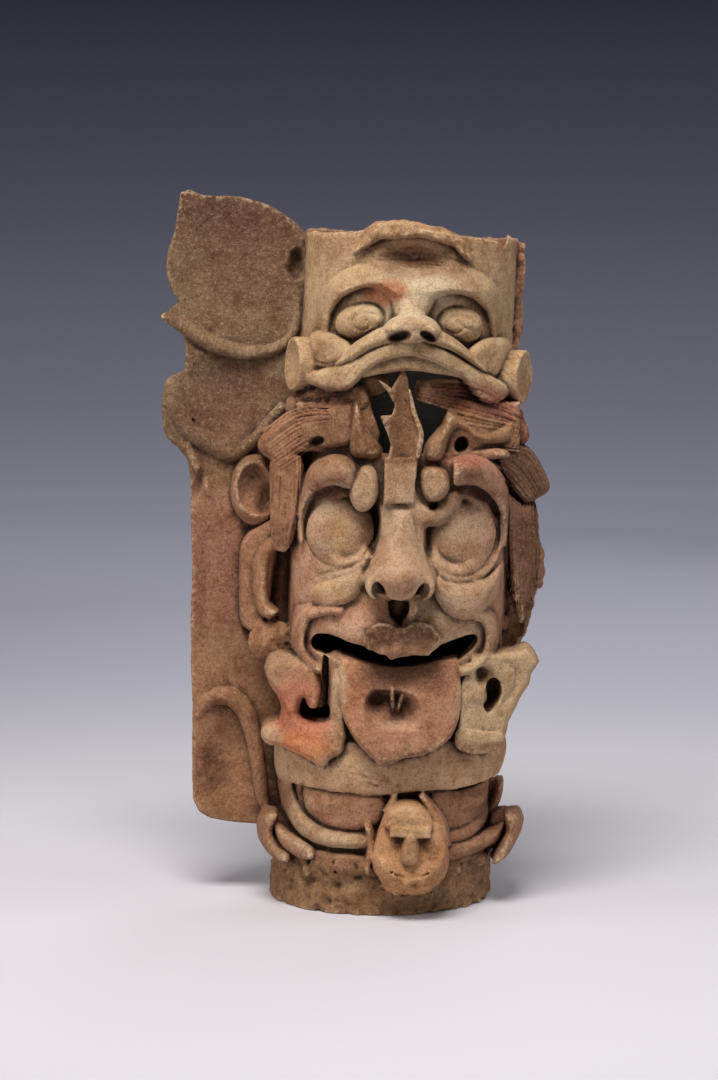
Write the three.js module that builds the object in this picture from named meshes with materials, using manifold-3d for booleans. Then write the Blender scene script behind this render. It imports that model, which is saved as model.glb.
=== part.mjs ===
// A fired clay effigy censer stand: an upright open tube with a mask on its front and one flat side flange.
// From the floor up the front carries a foot ring, a lower mask with a small pendant head, a broad collar,
// the large mask with its tongue out, a hair fringe with a torn leaf diadem, and an animal's upper jaw.
// The flange on the left is whole. The one on the right broke off in antiquity and only its root is left.
// All of it is one piece of clay. Units are millimetres, +Z is up, and the mask looks along -Y.
import * as THREE from "three";
import { mergeVertices } from "three/addons/utils/BufferGeometryUtils.js";
import Module from "manifold-3d";

const wasm = await Module();
wasm.setup();

// Driving dimensions
const TUBE_RADIUS = 105;
const WALL = 13;
const TUBE_HEIGHT = 660;
const FOOT_RADIUS = 110;
const FOOT_HEIGHT = 40;
const LEAN = 0.047; // the tube leans to the right by this much for each millimetre of height
const FLANGE_FRONT = 8; // the flange's faces, in front of and behind the tube's axis
const FLANGE_BACK = -10;
const STUMP_FRONT = 5;
const STUMP_BACK = -7;
const COLLAR_RADIUS = 117;
const COLLAR_BOTTOM = 119;
const COLLAR_TOP = 171;
const MASK_HALF_WIDTH = 107; // the large mask is a barrel, wider than it is deep
const MASK_DEPTH = 96;
const MASK_CENTRE = { x: 5, z: 345, d: 20 };
const EYE = { left: -58, right: 62, z: 375, halfWidth: 33, halfHeight: 38, front: 110 };
const ANIMAL_EYE = { left: -44, right: 46, z: 577, halfWidth: 22, halfHeight: 18, front: 108 };
const BORE_RADIUS = TUBE_RADIUS - WALL;

// Places are given as on a drawing of the front: x to the right, z up, and d, how far in front of the axis.
const at = (x, z, d) => new THREE.Vector3(x, -d, z);

// Moves each corner of a geometry by a rule that takes and returns [x, z, d].
function reshape(geometry, rule) {
  const position = geometry.getAttribute("position");
  for (let i = 0; i < position.count; i++) {
    const [x, z, d] = rule(position.getX(i), position.getZ(i), -position.getY(i));
    position.setXYZ(i, x, -d, z);
  }
  return geometry;
}

// A closed mesh with shared corners merged, as a solid that can be joined and cut.
function solid(geometry) {
  const bare = new THREE.BufferGeometry();
  bare.setAttribute("position", geometry.getAttribute("position").clone());
  if (geometry.index) bare.setIndex(geometry.index.clone());
  const merged = mergeVertices(bare, 1e-3);
  return new wasm.Manifold(
    new wasm.Mesh({
      numProp: 3,
      vertProperties: new Float32Array(merged.getAttribute("position").array),
      triVerts: new Uint32Array(merged.index.array),
    }),
  );
}

// A pressed lump of clay: an ellipsoid, turned in the plane of the front by tilt degrees.
function lump([x, z, d], [halfWidth, halfHeight, halfDepth], tilt = 0, sides = 8, rings = 6) {
  const geometry = new THREE.SphereGeometry(1, sides, rings);
  geometry.rotateX(Math.PI / 2);
  geometry.scale(halfWidth, halfDepth, halfHeight);
  geometry.rotateY(THREE.MathUtils.degToRad(-tilt));
  const place = at(x, z, d);
  return geometry.translate(place.x, place.y, place.z);
}

// A roll of clay laid along a smooth line through points [x, z, d, radius], with flat ends.
function roll(points, steps = 5, sides = 5) {
  const line = new THREE.CatmullRomCurve3(points.map(([x, z, d]) => at(x, z, d)));
  const frames = line.computeFrenetFrames(steps, false);
  const circle = new THREE.Shape();
  for (let i = 0; i < sides; i++) {
    const turn = (2 * Math.PI * i) / sides;
    const [x, y] = [Math.cos(turn), Math.sin(turn)];
    if (i) circle.lineTo(x, y);
    else circle.moveTo(x, y);
  }
  const rod = new THREE.ExtrudeGeometry(circle, { depth: steps, steps, bevelEnabled: false });
  const position = rod.getAttribute("position");
  for (let i = 0; i < position.count; i++) {
    const step = Math.round(position.getZ(i));
    const share = line.getUtoTmapping(step / steps) * (points.length - 1);
    const before = Math.min(Math.floor(share), points.length - 2);
    const radius = THREE.MathUtils.lerp(points[before][3], points[before + 1][3], share - before);
    const place = line.getPointAt(step / steps);
    place.addScaledVector(frames.normals[step], position.getX(i) * radius);
    place.addScaledVector(frames.binormals[step], position.getY(i) * radius);
    position.setXYZ(i, place.x, place.y, place.z);
  }
  return rod;
}

// A slab of clay cut to an outline of [x, z] corners and standing from back to front, with softened edges.
function slab(outline, back, front, { bevel = 2 } = {}) {
  const corners = outline.map(([x, z]) => new THREE.Vector2(x, z));
  const geometry = new THREE.ExtrudeGeometry(new THREE.Shape(corners), {
    depth: front - back - 2 * bevel,
    bevelEnabled: bevel > 0,
    bevelThickness: bevel,
    bevelSize: bevel,
    bevelOffset: -bevel,
    bevelSegments: 1,
  });
  geometry.translate(0, 0, back + bevel);
  return geometry.rotateX(Math.PI / 2);
}

// A body turned about a vertical axis from [radius, z] profile corners, run from bottom to top.
function turned(profile, sides, x = 0, d = 0) {
  const geometry = new THREE.LatheGeometry(
    profile.map(([radius, z]) => new THREE.Vector2(radius, z)),
    sides,
  );
  geometry.rotateX(Math.PI / 2);
  geometry.scale(1, -1, 1);
  const index = geometry.index;
  for (let i = 0; i < index.count; i += 3) {
    const first = index.getX(i);
    index.setX(i, index.getX(i + 2));
    index.setX(i + 2, first);
  }
  const place = at(x, 0, d);
  return geometry.translate(place.x, place.y, 0);
}

// The clay so far, built up in the order that a potter adds and cuts.
let clay = null;

function add(...geometries) {
  for (const geometry of geometries) clay = clay ? clay.add(solid(geometry)) : solid(geometry);
}

function cut(...geometries) {
  for (const geometry of geometries) clay = clay.subtract(solid(geometry));
}

// Turns a list of [x, z, d, radius] points over to the other side of the mask.
const mirrored = (points, about = 2) => points.map(([x, ...rest]) => [2 * about - x, ...rest]);

// The tube with its thicker foot
function tubeAndFoot() {
  const waist = FOOT_HEIGHT + 8;
  add(
    turned(
      [
        [0, 0],
        [FOOT_RADIUS, 0],
        [FOOT_RADIUS, FOOT_HEIGHT],
        [TUBE_RADIUS, waist],
        [TUBE_RADIUS, TUBE_HEIGHT],
        [0, TUBE_HEIGHT],
      ],
      28,
    ),
  );
}

// The flange stands upright while the tube leans, so its outlines are given in upright x.
const upright = (geometry) => reshape(geometry, (x, z, d) => [x - LEAN * z, z, d]);

const FLANGE_OUTLINE = [
  [-197, 705], [-163, 699], [-133, 697], [-109, 690], [-88, 676], [-70, 660], [-72, 560], [-84, 400],
  [-92, 200], [-96, 66], [-119, 70], [-151, 73], [-178, 80], [-188, 96], [-190, 258], [-189, 418],
  [-192, 438], [-201, 450], [-211, 458], [-217, 478], [-217, 503], [-206, 522], [-194, 527], [-194, 557],
  [-198, 570], [-215, 577], [-202, 595], [-211, 617], [-212, 638], [-205, 661], [-199, 690],
];

function flange() {
  add(upright(slab(FLANGE_OUTLINE, FLANGE_BACK, FLANGE_FRONT, { bevel: 3 })));
  const face = FLANGE_FRONT;
  // The upper scroll overlaps the lower one along a lifted edge that ends in a point.
  const upperEdge = [
    [-211, 578, face - 1, 5],
    [-190, 568, face + 2, 6],
    [-160, 549, face + 4, 7],
    [-120, 545, face + 3, 7],
    [-90, 556, face + 2, 6],
    [-78, 590, face + 2, 6],
    [-84, 630, face, 4],
  ];
  // The lower scroll's thick rim runs down into a point and up again to the hair.
  const lowerRim = [
    [-206, 500, face - 1, 9],
    [-190, 470, face + 3, 10],
    [-150, 447, face + 5, 9],
    [-122, 462, face + 7, 8],
    [-98, 492, face + 8, 6],
  ];
  // A loop hangs near the foot of the flange.
  const loop = [
    [-184, 120, face - 1, 6],
    [-178, 172, face + 2, 9],
    [-150, 200, face + 4, 10],
    [-124, 180, face + 5, 9],
    [-113, 130, face + 5, 8],
    [-106, 86, face + 4, 7],
  ];
  add(upright(roll(upperEdge, 7)), upright(roll(lowerRim, 6)), upright(roll(loop, 7)));
  // The tie that runs from the lower scroll's rim down the flange's outer edge
  add(upright(roll([[-190, 462, face, 5], [-176, 425, face + 1, 5], [-170, 396, face - 2, 4]], 4)));
  // The scrolls and the loop are dished inside.
  cut(
    upright(lump([-145, 628, face + 14], [56, 70, 18], 0, 12, 6)),
    upright(lump([-148, 505, face + 12], [38, 38, 17])),
    upright(lump([-148, 140, face + 12], [24, 44, 17])),
  );
}

// The root that the right flange left when it broke off
const STUMP_OUTLINE = [
  [108, 190], [122, 196], [128, 236], [150, 280], [158, 330], [157, 392], [146, 424], [136, 470],
  [136, 540], [141, 600], [143, 652], [129, 656],
];

function brokenFlange() {
  add(upright(slab(STUMP_OUTLINE, STUMP_BACK, STUMP_FRONT, { bevel: 2 })));
}

// The lower mask: a brow and eyes under the collar, a jaw roll, side curls and the pendant head
function lowerMask() {
  const leftJaw = [
    [-108, 124, 55, 8], [-101, 104, 68, 10], [-80, 82, 88, 10], [-48, 70, 102, 9], [-8, 68, 108, 9],
  ];
  const rightJaw = [[10, 68, 108, 9], [58, 69, 106, 9], [92, 78, 88, 9], [114, 98, 62, 8], [118, 122, 45, 6]];
  add(
    roll(leftJaw, 5),
    roll(rightJaw, 5),
    lump([-46, 100, 84], [40, 21, 23]),
    lump([78, 101, 68], [38, 21, 32]),
  );
  const lowBand = [[-112, 56, 66, 7], [-88, 54, 84, 9], [-40, 46, 102, 10], [20, 44, 106, 9]];
  const leftCurl = [
    [-116, 96, 66, 5], [-124, 84, 72, 7], [-124, 66, 76, 8], [-112, 50, 82, 9], [-92, 50, 88, 8],
  ];
  add(
    roll(lowBand, 4),
    roll([...mirrored(lowBand, 6)].reverse(), 4),
    roll(leftCurl, 5),
    roll([...mirrored(leftCurl, 5)].reverse(), 5),
  );
}

// The small head that hangs at the centre of the lower mask
function pendantHead() {
  const x = 24;
  add(
    lump([x, 60, 118], [36, 32, 33], 0, 11, 7),
    lump([x - 2, 100, 118], [26, 17, 26]),
    roll([[x - 2, 98, 138, 8], [x, 82, 148, 9], [x + 1, 68, 146, 10]], 3),
    roll([[x - 26, 106, 108, 6], [x - 30, 84, 118, 7], [x - 30, 64, 122, 7]], 3),
    roll([[x + 24, 112, 106, 5], [x + 32, 92, 114, 7], [x + 33, 70, 118, 7]], 3),
  );
}

// The broad collar under the tongue, a band around the front half of the tube
function collar() {
  const [inner, outer, bottom, top] = [TUBE_RADIUS - 5, COLLAR_RADIUS, COLLAR_BOTTOM, COLLAR_TOP];
  const low = [inner, bottom + 2];
  const profile = [low, [outer - 3, bottom], [outer, bottom + 8], [outer, top - 10], [inner, top], low];
  const band = turned(profile, 32, 3);
  const rear = slab([[-150, 100], [150, 100], [150, 190], [-150, 190]], -150, 8, { bevel: 0 });
  const front = solid(band).subtract(solid(rear));
  clay = clay.add(front);
}

// The large mask's ground: a barrel that swells out of the tube
function maskGround() {
  const { x, z, d } = MASK_CENTRE;
  const shares = [[0, -130], [0.86, -130], [0.95, -95], [1, -20], [1, 60], [0.97, 96], [0.86, 112], [0, 112]];
  const barrel = turned(shares.map(([share, rise]) => [share * MASK_HALF_WIDTH, z + rise]), 28);
  add(reshape(barrel, (bx, bz, bd) => [x + bx, bz, d + (bd * MASK_DEPTH) / MASK_HALF_WIDTH]));
  // The upper lip and cheeks stand out below the eyes.
  add(lump([4, 286, 58], [90, 34, 66], 0, 14, 8));
}

function eyesAndBrows() {
  const { halfWidth, halfHeight, front, z } = EYE;
  for (const x of [EYE.left, EYE.right]) {
    cut(lump([x, z + 2, front + 12], [halfWidth + 7, halfHeight + 8, 30], 0, 12, 6));
    add(lump([x, z, front - 25], [halfWidth, halfHeight, 25], 0, 12, 8));
  }
  // Brows arch over the eyes and run down beside them.
  const brow = [
    [-101, 352, 66, 6], [-99, 385, 76, 8], [-90, 418, 92, 10], [-62, 440, 108, 12], [-34, 430, 116, 9],
  ];
  add(roll(brow, 6, 6), roll([...mirrored(brow)].reverse(), 6, 6));
  // Pouches swell under the eyes.
  add(
    roll([[-26, 330, 116, 7], [-50, 318, 112, 11], [-84, 320, 90, 8]], 4),
    roll([[34, 330, 116, 8], [66, 306, 108, 15], [102, 326, 80, 11]], 4),
  );
}

// The panel between the brows, with a scroll on each side
function foreheadOrnament() {
  add(
    slab([[-16, 402], [13, 402], [14, 447], [-17, 447]], 95, 125, { bevel: 3 }),
    roll([[-30, 446, 112, 6], [-46, 434, 116, 7], [-42, 412, 122, 7], [-32, 400, 122, 5]], 5),
    roll([[20, 440, 112, 5], [18, 414, 122, 6], [34, 404, 124, 6], [46, 420, 118, 7], [40, 438, 112, 7]], 6),
  );
}

function nose() {
  add(
    roll([[0, 410, 108, 11], [0, 384, 120, 14], [1, 352, 132, 19], [2, 334, 138, 22]], 3, 7),
    lump([2, 332, 144], [24, 21, 25], 0, 10, 6),
    lump([-19, 325, 134], [14, 14, 19]),
    lump([24, 323, 134], [14, 14, 19]),
    roll([[3, 318, 148, 7], [5, 302, 142, 8], [6, 288, 128, 10]], 3),
  );
  cut(lump([-14, 315, 150], [6, 8, 14], 12, 6, 5), lump([19, 313, 150], [6, 8, 14], -12, 6, 5));
}

const MOUTH_OUTLINE = [
  [-80, 264], [-62, 271], [-40, 263], [-18, 257], [6, 252], [34, 256], [60, 267], [84, 268], [80, 256],
  [60, 246], [8, 240], [-44, 245], [-70, 254],
];

const BROKEN_TOOTH = [
  [-32, 276], [-18, 287], [5, 284], [30, 287], [42, 274], [26, 260], [6, 250], [-16, 259],
];

// The mouth opens into the tube. The tongue hangs out of it, and a broken tooth stands under the lip.
function mouth() {
  cut(slab(MOUTH_OUTLINE, 60, 160, { bevel: 0 }));
  add(
    slab(BROKEN_TOOTH, 92, 131, { bevel: 0 }),
    roll([[-92, 262, 74, 6], [-84, 282, 86, 6], [-60, 292, 104, 5]], 4),
    roll([[96, 262, 74, 6], [92, 284, 84, 6], [66, 292, 102, 5]], 4),
  );
}

const TONGUE_OUTLINE = [
  [-54, 249], [8, 243], [68, 248], [71, 222], [68, 196], [56, 174], [34, 162], [8, 152], [-20, 162],
  [-40, 178], [-52, 200], [-57, 224],
];

function tongue() {
  const [back, front] = [92, 114];
  const top = 249;
  const forward = 0.3; // the tongue's tip stands further out than its root
  const flap = slab(TONGUE_OUTLINE, back, front, { bevel: 4 });
  add(reshape(flap, (x, z, d) => [x, z, d + forward * (top - z)]));
  // Its dimple is a deep crescent with two small pinches of clay in it.
  cut(lump([10, 212, 142], [27, 22, 15]));
  add(lump([4, 216, 126], [3, 9, 8], 12, 6, 5), lump([17, 214, 126], [3, 9, 8], -10, 6, 5));
}

// The hooked scrolls at the corners of the mouth: a foot, a strip up to the lip and a curl that turns back in
function cornerScrolls() {
  const slope = 0.42;
  const lay = (geometry, side) => reshape(geometry, (x, z, d) => [x, z, d - slope * (side * x - 45)]);
  const left = [
    [-44, 252], [-42, 214], [-40, 180], [-48, 162], [-66, 146], [-84, 160], [-106, 166], [-124, 170],
    [-126, 184], [-112, 192], [-110, 212], [-120, 234], [-118, 246], [-104, 252], [-84, 248], [-70, 236],
    [-64, 212], [-70, 202], [-80, 206], [-88, 196], [-72, 190], [-60, 196], [-58, 224], [-58, 250],
  ];
  const right = [
    [62, 256], [78, 258], [104, 256], [124, 250], [132, 256], [148, 236], [138, 224], [134, 204], [124, 190],
    [118, 176], [110, 166], [72, 164], [62, 176], [64, 210], [62, 236],
  ];
  add(lay(slab(left, 92, 116, { bevel: 3 }), -1), lay(slab(right, 88, 112, { bevel: 3 }), 1));
  cut(lump([92, 212, 98], [8, 15, 22]));
}

// The ear on each side, under a round cup. On the right the breakage took most of it.
function ears() {
  const inner = [
    [-98, 356, 52, 7], [-116, 340, 44, 9], [-120, 305, 40, 9], [-112, 268, 40, 8], [-98, 250, 48, 10],
  ];
  add(
    lump([-141, 407, 12], [27, 33, 16], 0, 12, 6),
    roll([[-112, 366, 24, 8], [-134, 350, 16, 9], [-140, 318, 13, 9], [-141, 272, 12, 8]], 5),
    roll(inner, 5),
    roll([[120, 376, 40, 8], [138, 346, 24, 9], [142, 312, 14, 8]], 4),
  );
  cut(lump([-140, 408, 34], [20, 26, 16]));
}

// Locks of hair: a fan of tapering strands from a root line to a tip line
function locks(count, from, to, lift, radius) {
  for (let i = 0; i < count; i++) {
    const share = count > 1 ? i / (count - 1) : 0;
    const root = from[0].map((value, k) => THREE.MathUtils.lerp(value, from[1][k], share));
    const tip = to[0].map((value, k) => THREE.MathUtils.lerp(value, to[1][k], share));
    const middle = root.map((value, k) => (value + tip[k]) / 2);
    middle[2] += lift;
    add(roll([[...root, radius], [...middle, radius], [...tip, radius * 0.7]], 2, 5));
  }
}

function hair() {
  // A curved fan over the left temple, then straight strands in front of the ear
  locks(5, [[-66, 494, 92], [-84, 462, 88]], [[-126, 476, 52], [-128, 440, 58]], 14, 7);
  locks(3, [[-98, 448, 72], [-118, 446, 58]], [[-100, 366, 68], [-120, 364, 50]], 6, 7);
  // The right temple's fan and strands
  locks(5, [[88, 482, 78], [92, 452, 80]], [[132, 470, 40], [146, 420, 34]], 10, 7);
  locks(3, [[110, 436, 66], [130, 430, 46]], [[114, 300, 56], [132, 304, 36]], 8, 8);
}

// The band of hair and cut leaves under the animal's jaw, with an opening into the tube behind the diadem
const VENT_OUTLINE = [
  [-38, 522], [-30, 530], [4, 536], [50, 528], [62, 516], [30, 508], [30, 450], [-26, 450], [-34, 500],
];

function headband() {
  add(
    roll([[-104, 500, 40, 12], [-84, 504, 70, 14], [-50, 502, 94, 13], [-36, 494, 100, 9]], 4),
    roll([[-92, 470, 62, 12], [-66, 468, 92, 13], [-36, 464, 106, 12]], 5),
    roll([[44, 500, 98, 12], [78, 498, 78, 14], [112, 486, 38, 12]], 5),
    roll([[30, 454, 112, 8], [34, 478, 112, 9], [52, 486, 104, 9], [78, 470, 90, 10], [108, 470, 62, 10]], 5),
  );
  cut(slab(VENT_OUTLINE, 50, 150, { bevel: 0 }));
}

const MIDDLE_LEAF = [
  [-17, 446], [17, 446], [19, 474], [15, 484], [13, 510], [6, 534], [-5, 534], [-10, 508], [-24, 518],
  [-13, 494], [-12, 484], [-25, 486], [-17, 470],
];
const LEFT_LEAF = [[-30, 446], [-22, 450], [-26, 472], [-38, 494], [-48, 506], [-56, 470], [-54, 448]];
const LEAF_FOOT = [[-60, 440], [50, 440], [50, 452], [-60, 452]];

// The torn diadem: a tall leaf beside a lower one, standing free in front of the opening
function diadem() {
  add(
    slab(MIDDLE_LEAF, 112, 124, { bevel: 0 }),
    slab(LEFT_LEAF, 96, 122, { bevel: 0 }),
    slab(LEAF_FOOT, 88, 120, { bevel: 0 }),
  );
}

// The animal's upper jaw and brow at the top of the tube
function animalHead() {
  const { z, halfWidth, halfHeight, front } = ANIMAL_EYE;
  // Forehead and snout
  const forehead = [
    [-82, 590, 66, 9], [-62, 606, 86, 11], [-38, 612, 104, 12], [0, 606, 110, 11], [40, 606, 104, 12],
    [66, 598, 84, 11], [84, 580, 64, 8],
  ];
  add(
    roll(forehead, 7, 6),
    lump([2, 572, 112], [34, 20, 32]),
    lump([-76, 546, 66], [30, 23, 30]),
    lump([78, 538, 66], [30, 23, 30]),
  );
  for (const x of [ANIMAL_EYE.left, ANIMAL_EYE.right]) {
    cut(lump([x, z + 4, front + 8], [halfWidth + 7, halfHeight + 8, 20]));
    add(lump([x, z, front - 20], [halfWidth, halfHeight, 20]));
  }
  // The lip is one thick roll over another, like a moustache.
  const upperRoll = [
    [-92, 526, 74, 8], [-66, 530, 102, 10], [-40, 548, 124, 10], [2, 560, 138, 11], [46, 546, 124, 10],
    [74, 524, 98, 10], [96, 512, 76, 7],
  ];
  const lowerRoll = [
    [-84, 518, 80, 7], [-58, 520, 104, 8], [-34, 538, 124, 8], [2, 548, 136, 9], [40, 538, 124, 8],
    [68, 518, 100, 8], [90, 504, 80, 6],
  ];
  add(roll(upperRoll, 8, 6), roll(lowerRoll, 8));
  cut(lump([-18, 572, 142], [9, 6, 10], -10, 6, 5), lump([24, 570, 142], [9, 6, 10], 10, 6, 5));
}

// Round ear ornaments at the ends of the animal's jaw, like short drums that face outwards
function earDrums() {
  const [radius, height] = [27, 20];
  for (const [x, z, d, turn] of [[-103, 537, 62, -56], [110, 523, 52, 58]]) {
    const drum = turned([[0, 0], [radius, 0], [radius, height], [radius - 6, height], [0, height - 5]], 14);
    drum.rotateX(Math.PI / 2);
    drum.rotateZ(THREE.MathUtils.degToRad(turn));
    const place = at(x, z, d);
    add(drum.translate(place.x, place.y, place.z));
  }
}

// Everything above this ragged line is lost.
const LOST_TOP = [
  [-140, 662], [-60, 660], [-30, 672], [30, 672], [60, 658], [140, 652], [140, 720], [-140, 720],
];

// The tube's upper edge is chipped, and a lump that stood over the forehead has broken off.
function brokenTop() {
  add(
    roll([[-56, 634, 86, 8], [-30, 652, 98, 13], [8, 656, 102, 15], [44, 648, 92, 12], [64, 636, 78, 7]], 5),
  );
  cut(
    lump([14, 634, 122], [46, 12, 20], -4, 12, 8),
    slab(LOST_TOP, -160, 160, { bevel: 0 }),
  );
}

tubeAndFoot();
maskGround();
eyesAndBrows();
foreheadOrnament();
nose();
mouth();
collar();
lowerMask();
pendantHead();
headband();
animalHead();
brokenTop();
cut(turned([[0, -20], [BORE_RADIUS, -20], [BORE_RADIUS, TUBE_HEIGHT + 80], [0, TUBE_HEIGHT + 80]], 28));
flange();
brokenFlange();
ears();
hair();
cornerScrolls();
tongue();
diadem();
earDrums();

// The clay as a mesh, leaning as the tube does
function leaning(manifold) {
  const mesh = manifold.getMesh();
  const geometry = new THREE.BufferGeometry();
  const corners = new Float32Array(3 * mesh.numVert);
  for (let i = 0; i < mesh.numVert; i++) {
    for (let k = 0; k < 3; k++) corners[3 * i + k] = mesh.vertProperties[i * mesh.numProp + k];
  }
  geometry.setAttribute("position", new THREE.BufferAttribute(corners, 3));
  geometry.setIndex(new THREE.BufferAttribute(new Uint32Array(mesh.triVerts), 1));
  reshape(geometry, (x, z, d) => [x + LEAN * z, z, d]);
  geometry.computeVertexNormals();
  return geometry;
}

const firedClay = new THREE.MeshStandardMaterial({ color: 0xb58a6c, roughness: 0.95, metalness: 0 });
const stand = new THREE.Mesh(leaning(clay), firedClay);
stand.name = "censer_stand";

// The origin is on the floor, under the middle of the stand's outline.
const reach = new THREE.Box3().setFromObject(stand);
const middle = reach.getCenter(new THREE.Vector3());
stand.position.set(-middle.x, -middle.y, -reach.min.z);

const group = new THREE.Group();
group.add(stand);
export default group;
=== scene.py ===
# The finish of a fired clay effigy censer stand. The clay is shaped as a potter would: masses are pressed
# on, hollows are cut, rolls and plates are laid on, and combs and breaks mark the surface. All of that
# happens in a field on a grid, where each cell holds its distance to the clay in millimetres, and one mesh
# is made from it.
# Places are given as on a drawing of the front: x to the right, z up, and d in front of the tube's axis.
import math
from collections import namedtuple

import bpy
import numpy as np
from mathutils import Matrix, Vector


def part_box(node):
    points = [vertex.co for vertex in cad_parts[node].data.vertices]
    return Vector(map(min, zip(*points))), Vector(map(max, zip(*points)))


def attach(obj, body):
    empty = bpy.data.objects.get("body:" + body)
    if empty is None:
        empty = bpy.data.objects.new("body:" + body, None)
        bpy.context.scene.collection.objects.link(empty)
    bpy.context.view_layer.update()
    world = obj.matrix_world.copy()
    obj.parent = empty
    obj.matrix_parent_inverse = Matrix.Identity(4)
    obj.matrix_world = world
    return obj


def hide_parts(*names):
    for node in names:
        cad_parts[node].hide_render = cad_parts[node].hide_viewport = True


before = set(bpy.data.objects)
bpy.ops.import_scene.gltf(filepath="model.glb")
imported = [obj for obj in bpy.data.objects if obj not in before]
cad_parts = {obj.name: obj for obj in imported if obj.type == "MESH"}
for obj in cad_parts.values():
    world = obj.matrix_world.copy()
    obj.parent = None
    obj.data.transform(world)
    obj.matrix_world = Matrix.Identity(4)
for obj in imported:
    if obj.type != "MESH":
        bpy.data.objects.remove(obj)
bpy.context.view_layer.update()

import openvdb
from mathutils import Vector

# Driving dimensions of the stand, in millimetres, as in the solid
TUBE_RADIUS = 105
WALL = 13
TUBE_HEIGHT = 660
FOOT_RADIUS = 110
FOOT_HEIGHT = 40
LEAN = 0.047  # the tube leans to the right by this much for each millimetre of height
FLANGE_FRONT = 8
FLANGE_BACK = -10
FLANGE_LEFT = -217  # the flange's outermost point, measured upright
STUMP_FRONT = 5
STUMP_BACK = -7
COLLAR_RADIUS = 117
MASK_CENTRE = (5, 345, 20)  # x, z, d
MASK_HALF_WIDTH = 107
MASK_DEPTH = 96
MASK_ROUNDNESS = 2.5  # above 2 the front is broader than a round one
ANIMAL_EYES = {"left": (-44, 578), "right": (46, 575)}
BORE_RADIUS = TUBE_RADIUS - WALL

# The grid's reach in x, y and z, and its cell
GRID_LOW = (-248, -175, -5)
GRID_HIGH = (168, 116, 711)
CELL = 1.2
FAR = 60.0
TRIANGLE_LIMIT = 192_000
MILLIMETRES = 1000  # to a metre

Part = namedtuple("Part", "low high distance")  # corners and places are (x, z, d)


def smooth_min(a, b, soft):
    """The lower of two distances, with the corner between them rounded over."""
    if soft <= 0:
        return np.minimum(a, b)
    share = np.clip(0.5 + 0.5 * (b - a) / soft, 0, 1)
    return b + (a - b) * share - soft * share * (1 - share)


def noise_block(axes, grain, seed):
    """Smooth random values from -1 to 1 over a block of cells, changing about every grain millimetres."""
    counts = [int((axis[-1] - axis[0]) / grain) + 3 for axis in axes]
    block = np.random.default_rng(seed).uniform(-1, 1, counts).astype(np.float32)
    for k, axis in enumerate(axes):
        place = (axis - axis[0]) / grain + 0.37
        low = place.astype(int)
        share = place - low
        share = (share * share * (3 - 2 * share)).astype(np.float32)
        shape = [1, 1, 1]
        shape[k] = len(axis)
        share = share.reshape(shape)
        block = np.take(block, low, axis=k) * (1 - share) + np.take(block, low + 1, axis=k) * share
    return block


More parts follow.
